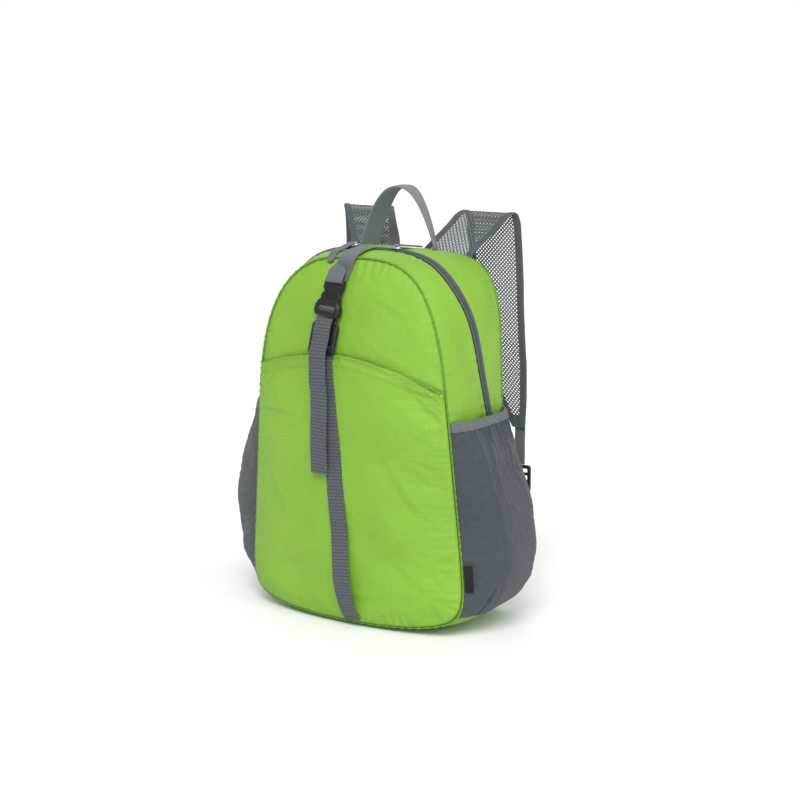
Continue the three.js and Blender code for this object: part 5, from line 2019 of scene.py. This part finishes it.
    def adjuster(self) -> None:
        """Makes the second moulded piece, domed at the top and slotted at the foot."""
        top, half, high = self.adjuster_length / 2, self.adjuster_width / 2, self.adjuster_thickness
        outline = arc_outline(mirrored([
            (half - 1.0, -top, 1.6), (half, 2.6 - top, 2.0), (half, top - 6.0, 4.6),
            (half - 4.4, top - 1.4, 3.0), (half - 8.0, top, 2.0),
        ]), 6)
        slot = slot_outline(self.inner, self.bar_cut - top, self.bar_cut + self.socket_slot - top)
        self.moulding("strap_adjuster_body", outline, (slot,), (0.0, high), 1.1, "strap_adjuster")
        for side in reversed(Side):
            middle = side.value * (half - 2.6)
            rail = arc_outline([
                (middle - 1.3, 5.0 - top, 0.8), (middle + 1.3, 5.0 - top, 0.8),
                (middle + 1.3, top - 8.4, 1.2), (middle - 1.3, top - 7.0, 1.0),
            ], 4)
            self.moulding(f"adjuster_rail_{side.word}", rail, (), (high - 0.6, high + 0.9), 0.6)

    def lower_line(self) -> Points:
        """The line of the socket's web: up from the base, through the window and down as the tail."""
        top, foot = self.top, self.buckle_middle - self.top
        z = np.linspace(self.foot, foot - self.buckle_off, 16)
        off = self.web_gap + self.web_width * self.lower_off(z / SIZES.height)
        behind = self.on_front(z, self.lower_x, off)
        back = -self.web_gap - self.web_thickness
        bar = self.bar_cut + self.socket_slot - top
        thick = self.buckle_thickness
        turn = self.in_buckle([
            (0, 1 - top, back), (0, self.bar_cut - top, back), (0, bar - 1.8, back * 0.3),
            (0, bar + 0.3, 2.0),
            (0, bar + 0.1, thick - 2.6), (0, bar - 2.9, thick - 1.4),
            (0, self.bar_cut - top + 1.0, thick - 2.2), (0, self.bar_cut - top - 2.0, thick - 3.6),
            (0, 0.5 - top, thick - 3.6 + 0.2),
        ])
        z = np.linspace(foot - 2 * self.buckle_off, self.tail_end, 12)
        off = self.web_gap + self.web_thickness + self.web_width * self.tail_off(z / SIZES.height)
        return np.vstack([behind, turn, self.on_front(z, self.tail_x, off)])

    def lower_web(self) -> None:
        """Makes the socket's web, with the stitches of its tail and of its foot."""
        tape = Tape("lower_web", self.lower_line(), -1.0, self.web_width, self.web_thickness, WEBBING, 1.5)
        tape.build("lower_strap")
        work = StitchWork("tail_stitches", GREY_THREAD, "webbing", 1.6, 0.6, 0.5)
        across_tail = np.linspace(-8.5, 8.5, 14)
        for inset in (4.0, 6.4):
            at = tape.lengths[-1] - inset
            middle, facing, side = (
                read_rows(at, tape.lengths, rows) for rows in (tape.centres, tape.facing, tape.side)
            )
            for sign in (-1, 1):
                base = middle - facing * (self.web_thickness / 2 + 0.1)
                base = base + sign * facing * (self.web_thickness / 2 + 0.35)
                work.row(base + np.outer(across_tail, side), np.tile(sign * facing, (len(across_tail), 1)))
        box = StitchWork("anchor_stitches", GREY_THREAD, "webbing", 1.8, 0.8, 0.5)
        tape_box(box, tape, 2.5, 9.0, 2.6)
        work.sew()
        box.sew()

    def upper_web(self) -> None:
        """Makes the web of the tongue: over the top of the bag, round the bar and sewn back on itself."""
        top, thick = self.top, self.web_thickness
        crown = np.array(0.5)
        start = float(SHELL.zip_depth(crown) - (4.5 + self.web_gap) / SHELL.gusset_depth(crown))
        lift = thick + self.web_gap
        over = SHELL.skin(start * np.array([1.0, 0.66, 0.34]), np.full(3, 0.5), lift)
        over[:, 0] = self.web_width * (-0.22 - 0.06 * np.arange(3))
        rim = self.on_front(float(SHELL.front.at_share(crown)[1]) - 1, self.tail_x, lift + 1)
        face = self.on_front(self.buckle_top + self.tongue_bar_length * 0.7, self.tail_x, 1.4 * self.web_gap)
        back = -self.web_gap
        front = 2 * thick + self.buckle_thickness * self.tongue_share + self.web_gap
        window = top - self.tongue_cut - 2 * thick * 0.86
        layer = self.layer_length
        turn = self.in_buckle([
            (0, top - 1, back), (0, window + thick, back + 0.4), (0, window, front / 2),
            (0, window + thick, front - 0.4), (0, top - 2, front),
            (0, top + layer * 0.5, front - thick * 0.7), (0, top + layer * 0.9, front - thick * 1.7),
            (0, top + layer * 1.15, front - thick * 2.2),
        ])
        line = np.vstack([over, rim, face, turn])
        width = self.web_width
        tape = Tape("upper_web", line, 1.0, width, thick, SMOOTH_WEB, 1.0, round_end=True, ripple=0.06)
        tape.build("upper_strap")
        work = StitchWork("layer_stitches", GREY_THREAD, "webbing", 1.7, 0.7, 0.5)
        tape.edge_rows(work, 2.0, tape.lengths[-1] - layer - 1, -4.0)
        tape.edge_rows(work, 2.0, 2.0, 26.0, False)
        work.sew()

    def build(self) -> None:
        """Makes the buckle's pieces and the two webs."""
        self.tongue()
        self.socket()
        self.adjuster()
        self.lower_web()
        self.upper_web()


@dataclass
class GrabHandle:
    """The web loop across the top, in front of the back seam."""

    width: float = 25.0
    thickness: float = 2.0
    span: float = 88.0
    rise: float = 68.0
    toe: float = 27.0
    back: float = 12.0
    arch_power: float = 2.3
    steps: int = 90

    @staticmethod
    def crown(x: Points, y: Points) -> Points:
        """The top of the bag's skin over plan places."""
        x, y = np.asarray(x, float), np.asarray(y, float)
        low, high = np.full(x.shape, 0.3), np.full(x.shape, 0.7)
        for _ in range(24):
            middle = (low + high) / 2
            front, back, _z = SHELL.seam_depths(middle)
            depth = (y - front) / (back - front)
            right = SHELL.skin(depth, middle)[..., 0] > x
            low, high = np.where(right, middle, low), np.where(right, high, middle)
        return SHELL.skin(depth, low)[..., 2]

    def build(self) -> None:
        """Makes the loop and the stitches at its feet."""
        across = np.sin(math.pi * (np.arange(self.steps + 1) / self.steps - 0.5))
        x = self.span / 2 * across
        y = np.full_like(x, SIZES.depth * 0.32 - self.back)
        z = mix(SIZES.height + self.rise, self.crown(x, y) + 1.0, np.abs(across) ** self.arch_power)
        centres = np.stack([x, y, z], 1)
        toe = np.radians(self.toe) * -across
        side = np.stack([np.sin(toe), np.cos(toe), np.zeros_like(toe)], 1)
        ahead = unit(np.gradient(centres, axis=0))
        side = unit(side - ahead * (side * ahead).sum(1, keepdims=True))
        outward = unit(np.cross(ahead, side))
        section = tape_section(self.width, self.thickness, 12, 0.1)
        points, faces, cut = sweep(centres - outward * self.thickness / 2, side, outward, section, True)
        grid = points.reshape(self.steps + 1, -1, 3)
        curl = 0.9 * np.sin(math.pi * np.linspace(0, 1, self.steps + 1)) ** 2
        bow = (section[:, 0] / (self.width / 2)) ** 2
        grid -= outward[:, None] * (curl[:, None] * bow[None])[..., None]
        for end in (0, -1):
            grid[end, :, 2] = np.maximum(grid[end, :, 2], self.crown(grid[end, :, 0], grid[end, :, 1]) - 0.6)
        grid = grid.reshape(-1, 3)
        piece = MAKER.mesh("handle_web", grid, faces, HANDLE, "webbing", cut, node="grab_handle")
        length = float(line_lengths(centres)[-1])
        work = StitchWork("handle_stitches", GREY_THREAD, "webbing", 2.0, 0.8, 0.55)
        for span in ((1.5, 13.0), (length - 13.0, length - 1.5)):
            faces = ((1, 0.0), (-1, self.thickness))
            box_stitches(work, (centres, side, outward), 9.5, span, 12, faces)
        work.sew()


@dataclass
class ShoulderStrap:
    """A shoulder strap: a fine diamond net between two bound edges, its tab, lock and lower web."""

    side: Side
    net_width: float = 68.0
    ridge: float = 440.0
    reach: float = 60.0
    binding_width: float = 8.0
    binding_thickness: float = 2.6
    net_end: float = 0.955
    cell: float = 4.4
    columns: int = 12
    thread: float = 1.55
    tab_width: float = 13.0
    tab_length: float = 42.0
    web_thickness: float = 1.6
    lock_width: float = 30.0
    lock_length: float = 30.0
    lock_thickness: float = 5.0
    lower_width: float = 25.0
    corner_height: float = 42.0
    corner_reach: float = 0.86

    def __post_init__(self) -> None:
        """Fits the strap's line, from the back seam over its fold to its point."""
        rows = np.array([
            (0.37, 0.01, 0.882, 0.95), (0.385, 0.05, 0.9, 0.96), (0.44, 0.19, 0.925, 0.97),
            (0.55, 0.4, 0.967, 0.98), (0.61, 0.52, 0.992, 0.99), (0.65, 0.63, 0.999, 1),
            (0.665, 0.72, 0.98, 1), (0.67, 0.77, 0.935, 1), (0.68, 0.82, 0.84, 1), (0.69, 0.88, 0.72, 0.97),
            (0.735, 0.94, 0.62, 0.84), (0.81, 0.98, 0.53, 0.55), (0.88, 1, 0.455, 0.24),
        ])
        seat = float(SHELL.back_seam_y(np.array(rows[0, 2] * self.ridge))) + SIZES.seam_gap
        plan = [rows[:, 0] * SIZES.width / 2, seat + rows[:, 1] * self.reach, rows[:, 2] * self.ridge]
        self.line = SmoothLine(np.stack(plan, 1))
        flat = np.zeros(len(rows))
        self.widths = SmoothLine(np.stack([rows[:, 3] * self.net_width, flat, flat], 1))
        self.tip = self.place(np.array(1.0), 0.0)

    def half(self, share: Points) -> Points:
        """Half the strap's width at shares of its length."""
        return self.widths.at(self.line.t_of(share))[..., 0] / 2

    def inner(self, share: Points) -> Points:
        """Half the net's width."""
        return np.maximum(1.2, self.half(share) - self.binding_width)

    def run(self, share: Points) -> Points:
        """The way that the strap's line runs."""
        t = self.line.t_of(share)
        return unit(self.line.at(np.minimum(t + 1e-3, 1)) - self.line.at(np.maximum(t - 1e-3, 0)))

    def place(self, share: Points, across: Points, sink: Points = 0.0) -> Points:
        """Places on the strap.

        Args:
            share: Shares of the strap's length.
            across: Ways across from its middle, outwards positive.
            sink: How far inside its outer face.

        Returns:
            Points on the strap's own side of the bag.
        """
        share, across, sink = np.broadcast_arrays(np.asarray(share, float), across, sink)
        ahead = self.run(share)
        inward = np.cross(ahead, np.broadcast_to([1.0, 0.0, 0.0], ahead.shape))
        points = self.line.at(self.line.t_of(share)) + inward * sink[..., None]
        points[..., 0] += across
        points[..., 0] *= self.side.value
        return points

    def thread_points(self, way: int, share: Points, row: Points, off: Points) -> Points:
        """One thread of the net, as a row of four points round each of its places.

        Args:
            way: Which of the two directions it runs in.
            share: Shares of the strap's length.
            row: Which half cells of the net it passes.
            off: Ways across from the strap's middle.

        Returns:
            The points.
        """
        weave = 0.22 * way * np.cos(math.pi * row * 2)
        line = self.place(share, off, self.binding_thickness / 2 + weave)
        run = self.run(share)
        face = np.cross(run, np.broadcast_to([1.0, 0.0, 0.0], run.shape))
        face[:, 0] *= self.side.value
        side = unit(np.cross(unit(np.gradient(line, axis=0)), face))
        section = np.array([(self.thread / 2, 0), (0, 0.4), (-self.thread / 2, 0), (0, -0.4)])
        return (
            line[:, None]
            + section[None, :, 0, None] * side[:, None]
            + section[None, :, 1, None] * face[:, None]
        ).reshape(-1, 3)

    def net(self) -> None:
        """Makes the net of crossing threads, which run on under the bindings."""
        end = self.net_end + 0.025
        rows, columns = int(self.line.lengths[-1] * end / self.cell), self.columns
        row = np.arange(-1, 2 * columns + 2) * 0.5
        off = (self.net_width / 2 - self.binding_width) * (2 * row / columns - 1)
        points: list[Points] = []
        faces: list[Sequence[int]] = []
        for way in (-1, 1):
            for start in range(-columns, rows + columns):
                along = start + row if way > 0 else start + columns - row
                inside = np.abs(off) <= self.inner(np.clip(along / rows, 0, 1) * end) + 2.6
                keep = (along >= 0) & (along <= rows) & inside
                if keep.sum() < 2:
                    continue
                base = len(points)
                points.extend(self.thread_points(way, along[keep] / rows * end, row[keep], off[keep]))
                faces.extend(tuple(base + i for i in f) for f in grid_faces(int(keep.sum()), 4, True))
        name, node = f"strap_net_{self.side.word}", f"shoulder_net_{self.side.word}"
        MAKER.mesh(name, np.array(points), faces, NET, "strap_net", sharp=180.0, node=node)

    def bindings(self) -> None:
        """Makes the two bound edges, which meet in the strap's point, with their stitches."""
        share = np.concatenate([np.linspace(0, self.net_end, 150)[:-1], np.linspace(self.net_end, 1, 16)])
        fine = np.linspace(0.004, self.net_end, 380)
        points, faces, cuts = [], [], []
        work = StitchWork(f"binding_stitches_{self.side.word}", GREY_THREAD, "binding", 2.0, 0.9, 0.5)
        half_thick, length = self.binding_thickness / 2, 420
        c, s = np.cos(around(14)), np.sin(around(14))
        shape = np.stack([np.sign(c) * np.abs(c) ** 0.55, np.sign(s) * np.abs(s) ** 0.7], 1)
        wave = Crumple(31, 9.0, 0.12, 0.0, 1.0).at(share * length, share * 0)
        outer, count = self.half(share), len(shape)
        inner = np.where(share > self.net_end, 0.0, np.maximum(self.inner(share) - 0.5, 0.0))
        reach = (outer - inner) / 2
        for sign in (-1, 1):
            grid = self.place(
                share[:, None],
                (sign * (outer + inner) / 2)[:, None] + reach[:, None] * shape[None, :, 0],
                half_thick + (half_thick + wave[:, None]) * shape[None, :, 1],
            )
            base = len(points)
            points.extend(grid.reshape(-1, 3))
            strip = grid_faces(len(share), count, True, True, self.side is Side.LEFT)
            faces.extend(tuple(base + i for i in face) for face in strip)
            wide = shape[None, :, 0] * reach[:, None] * shape[None, :, 1].clip(0.3, 1)
            cuts.append(np.stack([wide.ravel(), np.repeat(share * length, count)], 1))
            edge = sign * (np.maximum(self.inner(fine) - 0.5, 0) + 1.3)
            for sink, outward in ((-0.1, 1), (self.binding_thickness + 0.1, -1)):
                line = self.place(fine, edge, sink)
                work.row(line, self.place(fine, edge, sink - outward) - line)
        name, node = f"strap_binding_{self.side.word}", f"net_binding_{self.side.word}"
        MAKER.mesh(name, np.array(points), faces, BINDING, "binding", np.vstack(cuts), node=node)
        work.sew()

    def tab_web(self) -> None:
        """Makes the sewn tab under the strap's point."""
        z = np.linspace(5.0, -self.tab_length, 12)
        x, y = (np.full_like(z, at) for at in (self.tip[0], self.tip[1] + self.web_thickness * 0.5))
        line = np.stack([x, y, self.tip[2] + z], 1)
        name = f"tab_web_{self.side.word}"
        tape = Tape(name, line, -1.0, self.tab_width, self.web_thickness, SMOOTH_WEB, 1.4)
        tape.build(f"strap_tab_{self.side.word}")
        work = StitchWork(f"tab_stitches_{self.side.word}", GREY_THREAD, "webbing", 1.8, 0.8, 0.5)
        tape_box(work, tape, 8.0, 10.0, 2.0)
        tape_box(work, tape, 34.0, 9.0, 2.0)
        work.sew()

    def ladder_lock(self) -> None:
        """Makes the lock: a frame with three bars and finger ridges."""
        foot = self.tip[2] - self.tab_length - SIZES.seam_gap - self.lock_length
        half, length = self.lock_width / 2, self.lock_length
        back = self.tip[1] - self.lock_thickness / 2 + 0.6

        def place(p: Points) -> Points:
            """Stands the lock upright behind the bag."""
            return np.stack([self.tip[0] + p[:, 0], back + p[:, 2], foot + p[:, 1]], 1)

        outline = arc_outline(mirrored([
            (half - 1.6, 0.0, 2.0), (half, 2.6, 2.0), (half, length - 2.6, 2.0), (half - 1.6, length, 2.0),
        ]))
        spans = ((4.0, 9.6), (13.2, 18.4), (21.6, 26.0))
        slots = [slot_outline(half - 3.6, low, high, 0.9) for low, high in spans]
        name, node = f"lock_frame_{self.side.word}", f"ladder_lock_{self.side.word}"
        plate(name, outline, slots, self.lock_thickness - 1.2, 1.0, place, PLASTIC, "buckle_plastic", node)
        for k, up in enumerate((1.3, 2.9, 11.4, 20.0)):
            rib = slot_outline(half - 4.2, up - 0.55, up + 0.55, 0.5)
            name, rise = f"lock_rib_{self.side.word}_{k}", self.lock_thickness - 1.6
            plate(name, rib, (), 1.2, 0.4, place, PLASTIC, "buckle_plastic", rise=rise)

    def lower_web(self) -> None:
        """Makes the web from the lock to the bag's lower corner."""
        top = self.tip[2] - self.tab_length - SIZES.seam_gap - self.lock_length - SIZES.seam_gap
        foot_x = float(SHELL.back.half_width(np.array(self.corner_height))) * self.corner_reach
        share = np.linspace(0, 1, 14)
        z = mix(top, self.corner_height, share)
        x = mix(self.tip[0], self.side.value * foot_x, share)
        seat = SHELL.back_y(x, z) + SIZES.seam_gap + self.web_thickness + 1.5 * share
        y = mix(self.tip[1], seat, smoothstep(share, 0.05, 0.85))
        into = np.array([[self.tip[0], self.tip[1] + 0.2, top + rise] for rise in (11.0, 5.0)])
        line = np.vstack([into, np.stack([x, y, z], 1)])
        name = f"corner_web_{self.side.word}"
        tape = Tape(name, line, -1.0, self.lower_width, self.web_thickness, WEBBING, 1.5)
        tape.build(f"adjuster_strap_{self.side.word}")
        work = StitchWork(f"corner_stitches_{self.side.word}", GREY_THREAD, "webbing", 2.0, 0.8, 0.5)
        tape_box(work, tape, tape.lengths[-1] - 13.0, 10.0, 2.4)
        work.sew()

    def build(self) -> None:
        """Makes the strap's pieces."""
        self.net()
        self.bindings()
        self.tab_web()
        self.ladder_lock()
        self.lower_web()


@dataclass
class Studio:
    """The pale floor, the soft lights and the camera at the photograph's angle."""

    azimuth: float = 33.79
    elevation: float = 11.37
    distance: float = 2.1406
    target: tuple[float, float, float] = (0.0034747, 0.0033186, 0.1946)
    focal: float = 1947.0
    offset: tuple[float, float] = (-10.96, 36.03)
    image: float = 800.0
    sensor: float = 36.0
    floor_half: float = 14.0

    def floor(self) -> None:
        """Makes the floor."""
        data = bpy.data.meshes.new("floor")
        half = self.floor_half
        corners = [(-half, -half, 0), (half, -half, 0), (half, half, 0), (-half, half, 0)]
        data.from_pydata(corners, [], [(0, 1, 2, 3)])
        material = bpy.data.materials.new("pale_floor")
        material.use_nodes = True
        shader = material.node_tree.nodes["Principled BSDF"]
        shader.inputs["Base Color"].default_value = (0.9, 0.9, 0.9, 1)
        shader.inputs["Roughness"].default_value = 0.9
        shader.inputs["Specular IOR Level"].default_value = 0.1
        data.materials.append(material)
        floor = bpy.data.objects.new("floor", data)
        bpy.context.scene.collection.objects.link(floor)

    @staticmethod
    def light(name: str, place: tuple[float, float, float], softness: float, power: float) -> None:
        """Adds one far soft light.

        Args:
            name: Its name.
            place: The way that it comes from.
            softness: The angle in degrees that it fills of the sky.
            power: Its strength in watts a square metre.
        """
        data = bpy.data.lights.new(name, "SUN")
        data.angle = math.radians(softness)
        data.energy = power
        lamp = bpy.data.objects.new(name, data)
        lamp.location = place
        lamp.rotation_euler = (-Vector(place)).to_track_quat("-Z", "Y").to_euler()
        bpy.context.scene.collection.objects.link(lamp)

    def camera(self) -> None:
        """Places the camera."""
        az, el = math.radians(self.azimuth), math.radians(self.elevation)
        back = Vector((math.sin(az) * math.cos(el), -math.cos(az) * math.cos(el), math.sin(el)))
        data = bpy.data.cameras.new("camera")
        data.sensor_width = self.sensor
        data.lens = self.focal / self.image * self.sensor
        data.shift_x = -self.offset[0] / self.image
        data.shift_y = self.offset[1] / self.image
        data.clip_end = 60.0
        camera = bpy.data.objects.new("camera", data)
        camera.location = Vector(self.target) + back * self.distance
        camera.rotation_euler = (-back).to_track_quat("-Z", "Y").to_euler()
        bpy.context.scene.collection.objects.link(camera)
        bpy.context.scene.camera = camera

    def surround(self) -> None:
        """Makes the soft surround, which looks white behind the bag and lights it at half that strength."""
        world = bpy.data.worlds.new("studio")
        world.use_nodes = True
        write = NodeWriter(world.node_tree)
        seen = write.node("LightPath").outputs["Is Camera Ray"]
        sky = world.node_tree.nodes["Background"]
        sky.inputs["Color"].default_value = (1.0, 1.0, 1.0, 1.0)
        write.put(sky.inputs["Strength"], write.math("ADD", write.math("MULTIPLY", seen, 0.5), 0.5))
        bpy.context.scene.world = world
        bpy.context.scene.view_settings.view_transform = "Standard"

    def build(self) -> None:
        """Makes the studio."""
        self.floor()
        self.light("key", (1.4, -2.85, 3.2), 30.0, 2.3)
        self.light("fill", (3.2, -0.6, 2.2), 60.0, 0.95)
        self.light("rim", (-2.2, 2.4, 2.6), 50.0, 0.5)
        self.surround()
        self.camera()


def main() -> None:
    """Builds the studio and the bag's parts in order."""
    logging.basicConfig(level=logging.INFO, format="%(name)s %(message)s")
    Studio().build()
    FrontFaces().build()
    BackFace().build()
    Gusset().build()
    Zipper().build()
    for side, bulge in ((Side.RIGHT, 35.0), (Side.LEFT, 42.0)):
        pocket = SidePocket(side, bulge)
        pocket.build()
        if side is Side.RIGHT:
            LabelTab().build(pocket)
    FrontStrap().build()
    GrabHandle().build()
    for side in Side:
        ShoulderStrap(side).build()
    left = [name for name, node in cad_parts.items() if not node.hide_render]
    LOG.info("%d pieces; CAD nodes still shown: %s", len(MAKER.names), ", ".join(left) or "none")


if __name__ == "__main__":
    main()
